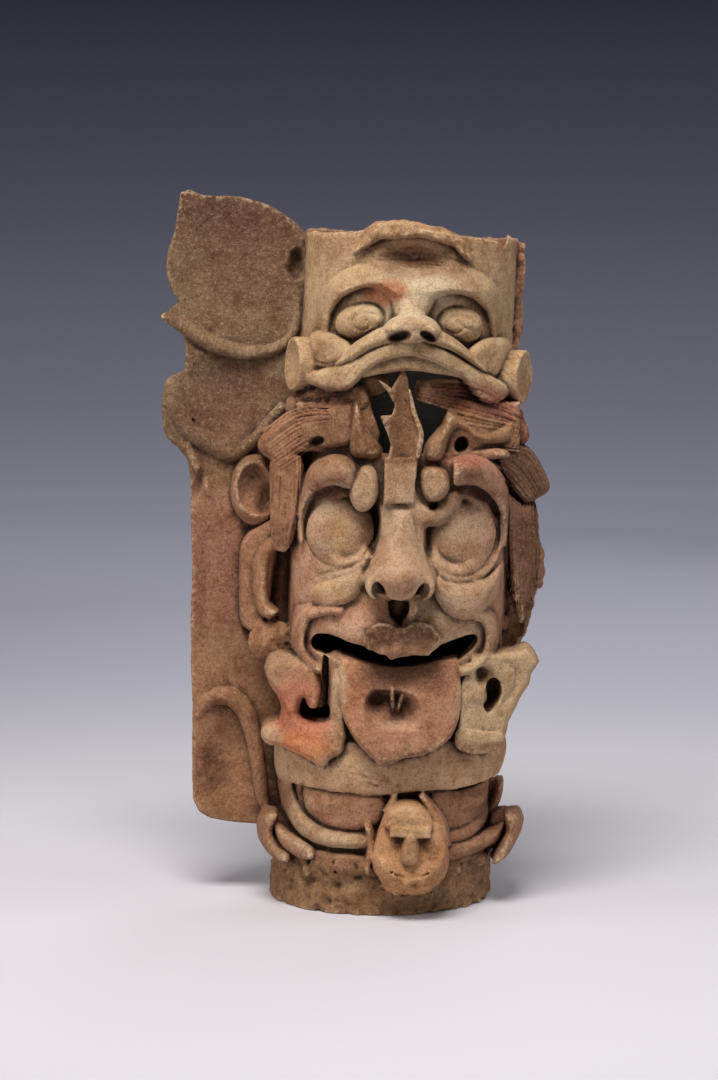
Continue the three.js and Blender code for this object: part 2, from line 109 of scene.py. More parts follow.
class Clay:
    """The clay as a grid of distances, negative inside."""

    def __init__(self, low, high, cell):
        self.cell = cell
        self.low = np.array(low, dtype=np.float32)
        counts = [int(math.ceil((b - a) / cell)) + 1 for a, b in zip(low, high)]
        self.axes = [(a + cell * np.arange(n)).astype(np.float32) for a, n in zip(low, counts)]
        self.field = np.full(counts, FAR, dtype=np.float32)

    def cells(self, low, high):
        """The index ranges between two corners."""
        spans = [(low[0], high[0]), (-high[2], -low[2]), (low[1], high[1])]
        ranges = []
        for (a, b), axis in zip(spans, self.axes):
            first = int(np.clip((a - axis[0]) / self.cell, 0, len(axis) - 1))
            last = int(np.clip((b - axis[0]) / self.cell + 2, first + 1, len(axis)))
            ranges.append(slice(first, last))
        return tuple(ranges)

    def places(self, cells):
        x, y, z = (axis[span] for axis, span in zip(self.axes, cells))
        return x[:, None, None], z[None, None, :], -y[None, :, None]

    def measure(self, parts, margin):
        """The distance to the nearest of the parts, over the cells that hold them."""
        low = np.min([part.low for part in parts], axis=0) - margin
        high = np.max([part.high for part in parts], axis=0) + margin
        cells = self.cells(low, high)
        distance = np.full(self.field[cells].shape, FAR, dtype=np.float32)
        for part in parts:
            own = self.cells(np.subtract(part.low, margin), np.add(part.high, margin))
            inner = tuple(slice(o.start - c.start, o.stop - c.start) for o, c in zip(own, cells))
            distance[inner] = np.minimum(distance[inner], part.distance(*self.places(own)))
        return cells, distance

    def add(self, parts, soft=3):
        cells, distance = self.measure(parts, soft + 2 * self.cell)
        self.field[cells] = smooth_min(self.field[cells], distance, soft)

    def cut(self, parts, soft=2):
        cells, distance = self.measure(parts, soft + 2 * self.cell)
        self.field[cells] = -smooth_min(-self.field[cells], distance, soft)

    def front(self, low, high, blur=0):
        """A function that gives the d of the clay's front surface between two [x, z] corners."""
        cells = self.cells((low[0], low[1], -200), (high[0], high[1], 200))
        block = self.field[cells]
        inside = block < 0
        first = np.argmax(inside, axis=1)
        met = inside.any(axis=1)
        before = np.maximum(first - 1, 0)
        rows, columns = np.indices(first.shape)
        outer, inner = block[rows, before, columns], block[rows, first, columns]
        share = np.clip(outer / np.maximum(outer - inner, 1e-6), 0, 1)
        depth = -(self.axes[1][cells[1]][before] + share * self.cell)
        depth = np.where(met, depth, np.median(depth[met]) if met.any() else 0)
        for _ in range(int(round(blur / self.cell))):
            padded = np.pad(depth, 1, mode="edge")
            depth = (
                padded[1:-1, 1:-1] * 2 + padded[:-2, 1:-1] + padded[2:, 1:-1] + padded[1:-1,
                    :-2] + padded[1:-1, 2:]
            ) / 6
        x0, z0 = self.axes[0][cells[0]][0], self.axes[2][cells[2]][0]

        def surface(x, z):
            u = np.clip((x - x0) / self.cell, 0, depth.shape[0] - 1.001)
            v = np.clip((z - z0) / self.cell, 0, depth.shape[1] - 1.001)
            i, j = np.floor(u).astype(int), np.floor(v).astype(int)
            a, b = u - i, v - j
            near = depth[i, j] * (1 - a) + depth[i + 1, j] * a
            far = depth[i, j + 1] * (1 - a) + depth[i + 1, j + 1] * a
            return near * (1 - b) + far * b

        return surface

    def laid(self, points, lift=0, blur=2):
        """Sets [x, z, radius] points on the clay's front surface, as [x, z, d, radius]."""
        line = smooth_line(points, 2)
        margin = 6
        low, high = line[:, :2].min(axis=0) - margin, line[:, :2].max(axis=0) + margin
        surface = self.front(low, high, blur)
        return [[x, z, float(surface(x, z)) + lift, radius] for x, z, radius in line]

    def push(self, parts, amount, grain, seed, fade=8):
        """Breaks the surface up inside a part: noise moves it in and out by up to the amount."""
        cells, distance = self.measure(parts, fade)
        axes = [axis[span] for axis, span in zip(self.axes, cells)]
        ragged = noise_block(axes, grain, seed) + 0.5 * noise_block(axes, grain / 2.2, seed + 1)
        self.field[cells] += amount * ragged * np.clip(-distance / fade + 0.3, 0, 1)


def smooth_line(points, per_span, closed=False):
    """A smooth line through points, with per_span steps between each two."""
    points = np.array(points, dtype=float)
    count = len(points)
    if closed:
        padded = np.concatenate([points[-1:], points, points[:2]])
    else:
        padded = np.concatenate([2 * points[:1] - points[1:2], points, 2 * points[-1:] - points[-2:-1]])
    spans = count if closed else count - 1
    line = []
    for i in range(spans):
        a, b, c, e = padded[i : i + 4]
        for step in range(per_span):
            t = step / per_span
            square = (2 * a - 5 * b + 4 * c - e) * t**2
            cube = (3 * b - a - 3 * c + e) * t**3
            line.append(0.5 * (2 * b + (c - a) * t + square + cube))
    if not closed:
        line.append(points[-1])
    return np.array(line)


def lump(place, half, tilt=0, turn=0):
    """An ellipsoid, tilted in the plane of the front and turned to face sideways, in degrees."""
    tilt, turn = math.radians(tilt), math.radians(turn)
    level = np.array([math.cos(turn), 0, -math.sin(turn)])
    facing = np.array([math.sin(turn), 0, math.cos(turn)])
    upward = np.array([0, 1, 0])
    frame_rows = np.array(
        [
            math.cos(tilt) * level + math.sin(tilt) * upward,
            -math.sin(tilt) * level + math.cos(tilt) * upward,
            facing,
        ]
    )
    half = np.array(half, dtype=float)
    reach = np.sqrt(((frame_rows * half[:, None]) ** 2).sum(axis=0))

    def distance(x, z, d):
        u, v, w = x - place[0], z - place[1], d - place[2]
        near, steep = 0, 0
        for row, size in zip(frame_rows, half):
            along = (u * row[0] + v * row[1] + w * row[2]) / size
            near = near + along**2
            steep = steep + (along / size) ** 2
        near = np.sqrt(near)
        return near * (near - 1) / (np.sqrt(steep) + 1e-5)

    return [Part(np.subtract(place, reach), np.add(place, reach), distance)]


def stretch(a, b, flat):
    """A tapered rod between two [x, z, d, radius] ends, pressed to flat times its depth."""
    a, b = np.array(a, dtype=float), np.array(b, dtype=float)
    way = b[:3] - a[:3]
    length = max(float(way @ way), 1e-6)
    radius = max(a[3], b[3])

    def distance(x, z, d):
        u, v, w = x - a[0], z - a[1], d - a[2]
        share = np.clip((u * way[0] + v * way[1] + w * way[2]) / length, 0, 1)
        across = (u - share * way[0]) ** 2 + (v - share * way[1]) ** 2 + ((w - share * way[2]) / flat) ** 2
        return np.sqrt(across) - (a[3] + (b[3] - a[3]) * share)

    return Part(np.minimum(a[:3], b[:3]) - radius, np.maximum(a[:3], b[:3]) + radius, distance)


def roll(points, per_span=4, flat=1.0):
    """A roll of clay along a smooth line through [x, z, d, radius] points."""
    line = smooth_line(points, per_span)
    return [stretch(a, b, flat) for a, b in zip(line[:-1], line[1:])]


def outline_distance(x, z, corners):
    """The distance in the plane to a closed outline, negative inside."""
    nearest = np.full(np.broadcast(x, z).shape, FAR**2, dtype=np.float32)
    inside = np.zeros(nearest.shape, dtype=bool)
    for (ax, az), (bx, bz) in zip(corners, np.roll(corners, -1, axis=0)):
        way_x, way_z = bx - ax, bz - az
        share = np.clip(((x - ax) * way_x + (z - az) * way_z) / (way_x**2 + way_z**2 + 1e-9), 0, 1)
        nearest = np.minimum(nearest, (x - ax - share * way_x) ** 2 + (z - az - share * way_z) ** 2)
        if az != bz:
            inside ^= ((az > z) != (bz > z)) & (x < way_x * (z - az) / way_z + ax)
    nearest = np.sqrt(nearest)
    return np.where(inside, -nearest, nearest)


def slab(outline, back, front, edge=2.0, rise=None, curve=0):
    """A plate cut to an outline of [x, z] corners, with rounded edges, that may follow a rising ground."""
    corners = smooth_line(outline, curve, closed=True) if curve else np.array(outline, dtype=float)
    low, high = corners.min(axis=0), corners.max(axis=0)
    rise = rise or (lambda x, z: 0)
    lifts = [float(np.max(rise(np.float32(x), np.float32(z)))) for x, z in corners]
    middle, half = (front + back) / 2, (front - back) / 2

    def distance(x, z, d):
        flat = outline_distance(x, z, corners) + edge
        deep = np.abs(d - rise(x, z) - middle) - half + edge
        outside = np.sqrt(np.maximum(flat, 0) ** 2 + np.maximum(deep, 0) ** 2)
        return outside + np.minimum(np.maximum(flat, deep), 0) - edge

    spare = 12 if max(lifts) - min(lifts) > 1 else 0
    return [
        Part(
            np.array([low[0], low[1], back + min(lifts) - spare]),
            np.array([high[0], high[1], front + max(lifts) + spare]),
            distance,
        )
    ]


def upright(points):
    """The flange stands upright while the tube leans, so its points are given in upright x."""
    return [[x - LEAN * z, z, *rest] for x, z, *rest in points]


def groove(clay, points, lift, soft, per_span=4):
    """Cuts a groove along [x, z, radius] points that are laid on the clay's front surface."""
    clay.cut(roll(clay.laid(points, lift), per_span), soft)


def comb(clay, first, last, count, depth, seed, wander=0.25):
    """Draws comb lines in the clay between two border lines of [x, z] points, both from root to tip."""
    steps = 24
    borders = []
    for border in (first, last):
        line = smooth_line(border, 6)
        travelled = np.concatenate([[0], np.cumsum(np.hypot(*np.diff(line, axis=0).T))])
        marks = np.linspace(0, travelled[-1], steps + 1)
        borders.append(np.stack([np.interp(marks, travelled, line[:, k]) for k in (0, 1)], axis=1))
    both = np.concatenate(borders)
    low, high = both.min(axis=0) - 2, both.max(axis=0) + 2
    cells = clay.cells((low[0], low[1], -25), (high[0], high[1], 175))
    x, z, d = clay.places(cells)
    flat_x, flat_z = np.broadcast_arrays(x[:, 0, :], z[:, 0, :])

    def along(t):
        spot = np.clip(t, 0, 1) * steps
        i = np.minimum(spot.astype(int), steps - 1)
        rest = (spot - i)[..., None]
        return [line[i] * (1 - rest) + line[i + 1] * rest for line in borders]

    # Each cell's share between the borders and along them, from the nearest mark and then by Newton's steps
    share_marks, along_marks = np.meshgrid(np.linspace(0, 1, 9), np.linspace(0, 1, steps + 1), indexing="ij")
    a, b = along(along_marks)
    marks = a * (1 - share_marks[..., None]) + b * share_marks[..., None]
    gap = (flat_x[..., None, None] - marks[..., 0]) ** 2 + (flat_z[..., None, None] - marks[..., 1]) ** 2
    nearest = gap.reshape(*flat_x.shape, -1).argmin(axis=-1)
    s, t = share_marks.ravel()[nearest], along_marks.ravel()[nearest]
    small = 0.01
    for _ in range(4):
        a, b = along(t)
        here = a * (1 - s[..., None]) + b * s[..., None]
        a2, b2 = along(t + small)
        a1, b1 = along(t - small)
        run_t = ((a2 - a1) * (1 - s[..., None]) + (b2 - b1) * s[..., None]) / (2 * small)
        run_s = b - a
        miss_x, miss_z = flat_x - here[..., 0], flat_z - here[..., 1]
        turn = run_s[..., 0] * run_t[..., 1] - run_s[..., 1] * run_t[..., 0]
        turn = np.where(np.abs(turn) < 1e-3, 1e-3, turn)
        s = np.clip(s + (miss_x * run_t[..., 1] - miss_z * run_t[..., 0]) / turn, -0.3, 1.3)
        t = np.clip(t + (miss_z * run_s[..., 0] - miss_x * run_s[..., 1]) / turn, -0.3, 1.3)
    rng = np.random.default_rng(seed)
    waves = rng.uniform(-1, 1, (count + 3, 2))
    line_number = np.clip(s * count, 0, count).astype(int)
    phase = s * count + wander * waves[line_number, 0] * np.sin(3 * t + 6 * waves[line_number, 1])
    ridge = 1.2 * np.abs(np.sin(math.pi * phase)) - 0.55 + 0.3 * waves[line_number, 1]
    fade = np.clip(np.minimum(s, 1 - s) * count / 0.7 + 0.6, 0,
        1) * np.clip(np.minimum(t, 1 - t) * 14 + 0.5, 0, 1)
    surface = clay.front(low, high, 4)(flat_x, flat_z)[:, None, :]
    near = np.clip((d - surface + 16) / 6, 0, 1)
    clay.field[cells] -= (depth * (ridge * fade))[:, None, :].astype(np.float32) * near


def cushion(outline, base, height, round_over, curve=3, root=18):
    """Clay pressed on inside an outline of [x, z] corners. It swells from the edge to its height."""
    corners = smooth_line(outline, curve, closed=True) if curve else np.array(outline, dtype=float)
    low, high = corners.min(axis=0), corners.max(axis=0)
    base_at = base if callable(base) else lambda x, z: base
    height_at = height if callable(height) else lambda x, z: height
    spots = [*corners, (low + high) / 2]
    grounds = [float(np.max(base_at(np.float32(x), np.float32(z)))) for x, z in spots]
    sizes = [float(np.max(height_at(np.float32(x), np.float32(z)))) for x, z in spots]

    def distance(x, z, d):
        away = outline_distance(x, z, corners)
        ground, size = base_at(x, z), height_at(x, z)
        inward = np.maximum(away + round_over, 0.05 * round_over) / round_over
        risen = np.maximum(d - ground, 0) / size
        near = np.sqrt(inward**2 + risen**2)
        steep = np.sqrt((inward / round_over) ** 2 + (risen / size) ** 2)
        return np.maximum(near * (near - 1) / steep, ground - root - d)

    return [
        Part(
            np.array([low[0], low[1], min(grounds) - root]),
            np.array([high[0], high[1], max(grounds) + max(sizes)]),
            distance,
        )
    ]


def ribbon(points, per_span=4):
    """The outline of a flat band along a smooth line of [x, z, half width] points."""
    line = smooth_line(points, per_span)
    way = np.gradient(line[:, :2], axis=0)
    way /= np.linalg.norm(way, axis=1, keepdims=True)
    across = np.stack([-way[:, 1], way[:, 0]], axis=1) * line[:, 2:3]
    return np.concatenate([line[:, :2] + across, (line[:, :2] - across)[::-1]])


def tube_front(radius):
    """The d of the front of an upright round tube."""
    return lambda x, z: np.sqrt(np.maximum(radius**2 - x**2, 100))


def ramp_between(first, last):
    """A depth that changes evenly with x from one (x, depth) to another, and stays level beyond them."""
    (x0, d0), (x1, d1) = sorted((first, last))
    return lambda x, z: d0 + (d1 - d0) * np.clip((x - x0) / (x1 - x0), 0, 1)


# The tube with its thicker foot
def tube_and_foot(clay):
    x, z, d = clay.places(clay.cells((-400, -400, -400), (400, 800, 400)))
    radius = np.sqrt(x**2 + d**2)
    waist = FOOT_HEIGHT + 8
    clay.field = smooth_min(
        np.maximum(np.maximum(radius - TUBE_RADIUS, z - TUBE_HEIGHT - 30), -z + 5),
        np.maximum(np.maximum(radius - FOOT_RADIUS, z - waist), -z),
        8,
    ).astype(np.float32)


def mask_front(x, z):
    """The d of the large mask's ground, the same at every z: a broad front with rounded sides."""
    across = np.clip(np.abs(x - MASK_CENTRE[0]) / (MASK_HALF_WIDTH + 2), 0, 0.98)
    return MASK_CENTRE[2] + MASK_DEPTH * (1 - across**MASK_ROUNDNESS) ** (1 / MASK_ROUNDNESS)


# The large mask's ground: a barrel that swells out of the tube
def mask_ground(clay):
    centre_x, centre_z, centre_d = MASK_CENTRE
    rises = [-132, -118, -95, -50, 0, 60, 92, 108, 118]
    shares = [0.80, 0.90, 0.955, 0.99, 1, 1, 0.965, 0.90, 0.80]

    def distance(x, z, d):
        share = np.interp(z.ravel(), [centre_z + rise for rise in rises], shares).reshape(z.shape)
        sideways = (np.abs(x - centre_x) / MASK_HALF_WIDTH) ** MASK_ROUNDNESS
        forward = (np.abs(d - centre_d) / MASK_DEPTH) ** MASK_ROUNDNESS
        side = ((sideways + forward) ** (1 / MASK_ROUNDNESS) - share) * MASK_DEPTH
        return np.maximum(side, np.abs(z - centre_z + 6) - 120)

    reach = MASK_HALF_WIDTH + 4
    barrel = Part((centre_x - reach, centre_z - 130, -60), (centre_x + reach, centre_z + 120, 122), distance)
    clay.add([barrel], 10)
    # The upper lip stands out below the nose.
    clay.add(lump((3, 284, 58), (80, 32, 66)), 14)


def eyes_and_brows(clay):
    # Sockets, deepest beside the nose
    clay.cut(lump((-57, 383, 128), (37, 43, 37), 12, -14), 3)
    clay.cut(lump((62, 379, 128), (38, 46, 37), -5, 14), 3)
    clay.cut(lump((-28, 388, 120), (11, 37, 36), 6), 4)
    clay.cut(lump((31, 382, 122), (8, 36, 26), -3), 4)
    # Each eye is one smooth oval, only a little domed.
    clay.add(lump((-57, 377, 89), (33, 36, 17), 12, -13), 0.5)
    clay.add(lump((62, 372, 88), (34, 39, 18), -5, 13), 0.5)
    for (x, z), (across, up), tilt in (((-57, 377), (33, 36), 12), ((62, 372), (34, 39), -5)):
        turns = np.linspace(0, 2 * math.pi, 17)
        lean = math.radians(tilt)
        aside, above = across * np.cos(turns), up * np.sin(turns)
        rim = np.stack([x + aside * math.cos(lean) + above * math.sin(lean),
            z + above * math.cos(lean) - aside * math.sin(lean)], axis=1)
        groove(clay, [[*spot, 1.8] for spot in rim], 0.5, 1, 2)
    # A thin lid edges the right eye.
    clay.add(roll([[99, 386, 84, 1.5], [100, 364, 82, 2], [92, 342, 88, 2.4], [76, 330, 98, 2.4],
        [58, 327, 104, 2]]), 2)
    # Brows: a fat hood over each eye that thins to a ridge beside it
    left_brow = [
        [-92, 362], [-99, 366], [-102, 392], [-99, 417], [-89, 438], [-72, 450], [-56, 450], [-46,
            442], [-43, 430],
        [-46, 419], [-54, 418], [-66, 420], [-79, 412], [-88, 398], [-92, 382],
    ]
    right_brow = [
        [100, 358], [107, 364], [109, 392], [105, 416], [94, 437], [76, 449], [55, 450], [42, 443], [36, 431],
        [41, 419], [54, 421], [70, 421], [83, 412], [93, 398], [98, 380],
    ]
    under = lambda x, z: mask_front(x, z) - 6
    for brow in (left_brow, right_brow):
        clay.add(cushion(brow, under, 27, 14), 1.5)
    # Under each hood the clay is drawn in.
    clay.cut(roll([[-90, 392, 84, 4], [-82, 408, 93, 6], [-66, 417, 102, 7], [-48, 416, 106, 6]]), 1.5)
    clay.cut(roll([[96, 392, 82, 4], [87, 408, 92, 6], [70, 417, 102, 7], [50, 416, 107, 6]]), 1.5)
    # Pouches swell under the eyes. The left one is a small lozenge, the right one hangs.
    left_pouch = [
        [-82, 319], [-70, 328], [-50, 335], [-33, 341], [-27, 333], [-35, 315], [-50, 305], [-68, 301],
        [-80, 307],
    ]
    right_pouch = [
        [31, 344], [46, 331], [66, 327], [88, 332], [103, 344], [103, 320], [92, 302], [74, 291], [56,
            293], [42, 305],
        [34, 322],
    ]
    clay.add(cushion(left_pouch, under, 14, 9), 1.5)
    clay.add(cushion(right_pouch, under, 19, 14), 1.5)
    groove(clay, [[-84, 326, 1], [-70, 335, 1.6], [-48, 342, 1.8], [-32, 350, 1.4]], 0, 1.5)


# The panel between the brows, with a leaf on its left and a scroll on its right
def forehead_ornament(clay):
    clay.cut(slab([[-29, 396], [-17, 400], [-17, 452], [-30, 452]], 108, 140, 1), 4)
    clay.cut(slab([[13, 404], [24, 398], [52, 408], [48, 450], [13, 452]], 108, 140, 2), 4)
    clay.add(slab([[-16, 405], [13, 405], [14, 449], [-17, 449]], 92, 122, 2.5), 1)
    leaf = [[-46, 431], [-36, 441], [-25, 436], [-21, 414], [-29, 398], [-42, 397], [-50, 413]]
    clay.add(cushion(leaf, 98, 27, 6), 0.5)
    knob = [[18, 438], [34, 441], [46, 433], [47, 418], [40, 407], [28, 405], [19, 413], [16, 427]]
    clay.add(cushion(knob, 98, 22, 8), 0.5)
    # The rim of the scroll hooks round under the knob.
    clay.add(roll([[12, 412, 108, 5], [15, 398, 109, 7], [28, 390, 108, 8], [42, 394, 104, 8],
        [52, 408, 101, 7]]), 6)


def nose(clay):
    outline = [
        [-12, 404], [13, 404], [16, 386], [21, 366], [30, 349], [37, 335], [35, 322], [22, 314], [3,
            312], [-17, 315],
        [-30, 323], [-32, 337], [-25, 350], [-16, 368], [-12, 386],
    ]
    heights = lambda x, z: np.interp(z, [312, 322, 335, 350, 370, 390, 404], [34, 46, 54, 48, 36, 24, 15])
    clay.add(cushion(outline, 103, heights, 22), 3)
    clay.add(lump((3, 334, 144), (20, 19, 22)), 6)
    clay.add(lump((-20, 327, 132), (10, 13, 17), 14, -12), 3)
    clay.add(lump((26, 326, 132), (10, 13, 17), -14, 12), 3)
    # The nostrils, and the pit left where an ornament broke away under them
    clay.cut(lump((-16, 324, 140), (7.5, 10, 27), 16, -8), 0.5)
    clay.cut(lump((23, 322, 140), (7.5, 10, 27), -16, 8), 0.5)
    pit = [[-8, 311], [2, 313], [13, 310], [14, 300], [9, 292], [6, 286], [1, 289], [-6, 297], [-7, 304]]
    clay.cut(slab(pit, 103, 176, 1, None, 0), 1)
    clay.push(slab(pit, 100, 150, 2), 1.4, 5, 31, 6)
    clay.add(roll([[16, 314, 124, 3], [17, 304, 127, 3.6], [14, 295, 122, 2.8]]), 1)
    # Creases where the nostrils meet the cheeks
    groove(clay, [[-20, 358, 1.4], [-30, 346, 2.2], [-35, 334, 2.4], [-33, 320, 1.6]], 0.5, 1.5)
    groove(clay, [[33, 350, 1.2], [39, 338, 2.2], [38, 324, 2.2], [31, 313, 1.6]], 0.5, 1.5)


MOUTH = [
    [-80, 264], [-77, 273], [-64, 276], [-48, 271], [-30, 267], [4, 266], [36, 265], [44, 267], [58,
        272], [74, 276],
    [81, 273], [79, 263], [60, 248], [34, 240], [0, 238], [-28, 242], [-46, 248], [-66, 255], [-76, 258],
]


# The mouth opens into the tube. A broken tooth stands under the lip.
def mouth(clay):
    # A flat lip goes round each corner of the mouth.
    around = lambda x, z: mask_front(x, z) - 2
    left_corner = [
        [-50, 300, 4], [-70, 299, 5], [-86, 292, 6], [-93, 276, 7], [-92, 258, 7], [-80, 245, 6],
        [-62, 240, 5],
    ]
    right_corner = [
        [58, 300, 4], [76, 297, 5], [90, 289, 6], [96, 274, 7], [94, 257, 7], [82, 245, 6], [64, 240, 5],
    ]
    for line in (left_corner, right_corner):
        clay.add(cushion(ribbon(line), around, 10, 6, 0), 3)
    clay.cut(slab(MOUTH, 50, 170, 2, None, 3), 1)
    groove(clay, [[-80, 306, 1], [-98, 298, 1.6], [-102, 276, 2], [-99, 250, 1.6]], 0, 1)
    groove(clay, [[88, 304, 1.4], [101, 292, 2.2], [105, 270, 2.4], [101, 250, 1.6]], 0, 1)
    slope = lambda x, z: -0.0035 * (x - 5) ** 2
    crescent = [
        [-29, 272], [-26, 283], [-15, 290], [-4, 289], [6, 284], [16, 290], [29, 290], [39, 283], [45,
            272], [38, 266],
        [32, 271], [7, 275], [-14, 272], [-24, 266],
    ]
    clay.add(slab(crescent, 92, 134, 1, slope, 2), 0.5)
    tooth = [[-25, 272], [-24, 267], [-17, 262], [-12, 259], [-6, 256], [-2, 251], [5, 254], [12, 255],
        [24, 257],
             [34, 259], [38, 266], [34, 274], [6, 278]]
    clay.add(slab(tooth, 98, 131, 1, slope, 0), 6)
    clay.add(roll([[6, 282, 130, 3], [4, 268, 131, 4], [0, 256, 128, 3]]), 5)
    clay.push(slab(crescent, 118, 140, 2, slope), 1.0, 3, 41, 3)
    clay.push(slab(crescent, 118, 140, 2, slope), 1.2, 9, 42, 3)


TONGUE = [
    [-51, 256], [-28, 249], [4, 243], [34, 246], [62, 253], [67, 238], [69, 216], [67, 194], [60, 177], [48,
        168],
    [34, 162], [14, 158], [-2, 151], [-13, 156], [-27, 169], [-39, 183], [-48, 202], [-52, 226],
]


def tongue(clay):
    top, forward = 249, 0.30  # the tongue's tip stands further out than its root
    slope = lambda x, z: 94 + forward * (top - z) - 0.0016 * (x - 8) ** 2
    clay.add(cushion(TONGUE, slope, 19, 6, 2), 0.5)
    # Below the mouth it is pressed in, and further down is a crescent dimple with two small pinches in it.
    clay.cut(lump((4, 241, 125), (44, 19, 17)), 6)
    clay.add(roll([[-28, 222, 112, 3], [-23, 202, 118, 5], [-6, 190, 123, 6], [13, 190, 123, 6],
        [27, 204, 118, 4]]), 5)
    clay.cut(lump((2, 206, 137), (31, 24, 31), -6), 1)
    clay.cut(lump((-12, 212, 126), (13, 13, 24), 10), 5)
    clay.add(lump((1, 216, 108), (2.2, 15, 13), 6), 1)
    clay.add(lump((9, 212, 106), (2.2, 11, 13), -14), 1)
    # The broken lower edge
    clay.push(slab([[-30, 148], [44, 154], [56, 172], [-34, 174]], 100, 160, 2), 1.3, 6, 51, 8)


LEFT_STRIP = [[-62, 254], [-60, 222], [-60, 200], [-57, 186], [-42, 172], [-43, 197], [-43, 222], [-46, 254]]
LEFT_SCROLL = [
    [-44, 180], [-42, 168], [-44, 160], [-54, 153], [-62, 144], [-75, 149], [-90, 156], [-103, 161], [-116,
        162],
    [-125, 168], [-125, 178], [-118, 185], [-109, 188], [-107, 200], [-112, 213], [-121, 224], [-125,
        238], [-119, 249],
    [-101, 253], [-84, 249], [-73, 240], [-68, 224], [-67, 210], [-72, 201], [-80, 201], [-85, 210], [-88,
        197],
    [-80, 190], [-64, 189], [-56, 194],
]
LEFT_HOLLOW = [[-87, 204], [-84, 194], [-72, 189], [-60, 191], [-60, 204], [-66, 199], [-78, 199]]
RIGHT_STRIP = [
    [68, 252], [86, 254], [83, 232], [92, 222], [94, 210], [88, 203], [80, 208], [74, 196], [70, 174],
    [64, 200],
]
RIGHT_SCROLL = [
    [64, 176], [66, 166], [90, 162], [106, 164], [115, 172], [118, 186], [123, 196], [128, 208], [136,
        220], [138, 232],
    [145, 243], [137, 255], [130, 260], [118, 256], [106, 257], [92, 258], [76, 256], [70, 236], [66, 206],
]


# The hooked scrolls at the corners of the mouth: a knob that curls back in, a lobe, and a strip up to the lip
def corner_scrolls(clay):
    left_slope = lambda x, z: 94 - 0.44 * np.maximum(-x - 45, 0)
    right_slope = lambda x, z: 90 - 0.46 * np.maximum(x - 60, 0)
    thinning = lambda x, z: np.interp(z, [186, 232, 256], [18, 16, 3])
    clay.add(cushion(LEFT_STRIP, left_slope, thinning, 5), 2)
    clay.add(cushion(LEFT_SCROLL, left_slope, 24, 9, 2, 26), 0.5)
    clay.cut(cushion(LEFT_HOLLOW, lambda x, z: 78 - 0.44 * np.maximum(-x - 45, 0), 60, 3), 1)
    clay.cut(slab([[-68, 256], [-62, 252], [-61, 226], [-62, 190], [-71, 198], [-68, 224]], 70, 130, 1), 1)
    clay.add(cushion(RIGHT_SCROLL, right_slope, 20, 7, 2, 26), 0.5)
    clay.cut(lump((98, 214, 84), (9, 17, 26), -12), 1)
    clay.cut(lump((90, 234, 96), (12, 9, 12), -30), 4)
    clay.add(cushion(RIGHT_STRIP, right_slope, lambda x, z: np.interp(z, [180, 230, 256], [24, 22, 6]), 7), 2)
    clay.cut(roll([[112, 246, 86, 1.6], [122, 238, 81, 2], [122, 222, 81, 2], [112, 206, 86, 1.6]]), 5)
    # Broken edges below both, with a crack in the right one
    broken = [
        [64, 180], [72, 184], [90, 180], [108, 178], [112, 170], [104, 160], [90, 158], [74, 160],
        [66, 166],
    ]
    clay.add(slab(broken, 70, 106, 1.5, lambda x, z: -0.4 * np.maximum(x - 75, 0), 2), 0.5)
    clay.push(slab(broken, 74, 116, 2, lambda x, z: -0.4 * np.maximum(x - 75, 0)), 1.5, 7, 61, 5)
    clay.cut(roll([[66, 181, 108, 1.4], [90, 181, 102, 1.6], [110, 178, 92, 1.4]]), 0.5)
    clay.push(slab([[-78, 142], [-52, 142], [-50, 158], [-80, 158]], 84, 130, 2), 1.6, 7, 63, 6)


# The broad collar under the tongue, a band round the front half of the tube
def collar(clay):
    centre_x, top, inner_radius = 3, 170, 96

    def distance(x, z, d):
        radius = np.sqrt((x - centre_x) ** 2 + d**2)
        bottom = 120 + 0.05 * np.maximum(x, 0) + 1.5 * np.sin(x / 17)
        middle, half = (top + bottom) / 2, (top - bottom) / 2
        swell = COLLAR_RADIUS - 5 * ((z - middle) / half) ** 2
        flat = np.maximum(radius - swell, inner_radius - radius)
        return np.maximum(np.maximum(flat, np.abs(z - middle) - half), 6 - d)

    reach = COLLAR_RADIUS + 5
    clay.add([Part((-reach, 116, -2), (reach, 174, reach), distance)], 1)
    # Drawn in under its lower edge
    groove(clay, [[-84, 118, 2], [-40, 120, 2.4], [0, 118, 2.4], [40, 116, 2.4], [96, 120, 2]], -1, 1)
    # A long tear in the band's lower half, and a scar where something was knocked off
    groove(clay, [[-36, 141, 1.2], [-16, 137, 2.2], [4, 135, 1.6]], 0.5, 1)
    groove(clay, [[-22, 131, 1.2], [8, 128, 2], [40, 131, 1]], 0.5, 1)
    clay.push(lump((2, 134, 116), (44, 9, 9)), 1.5, 5, 71, 5)


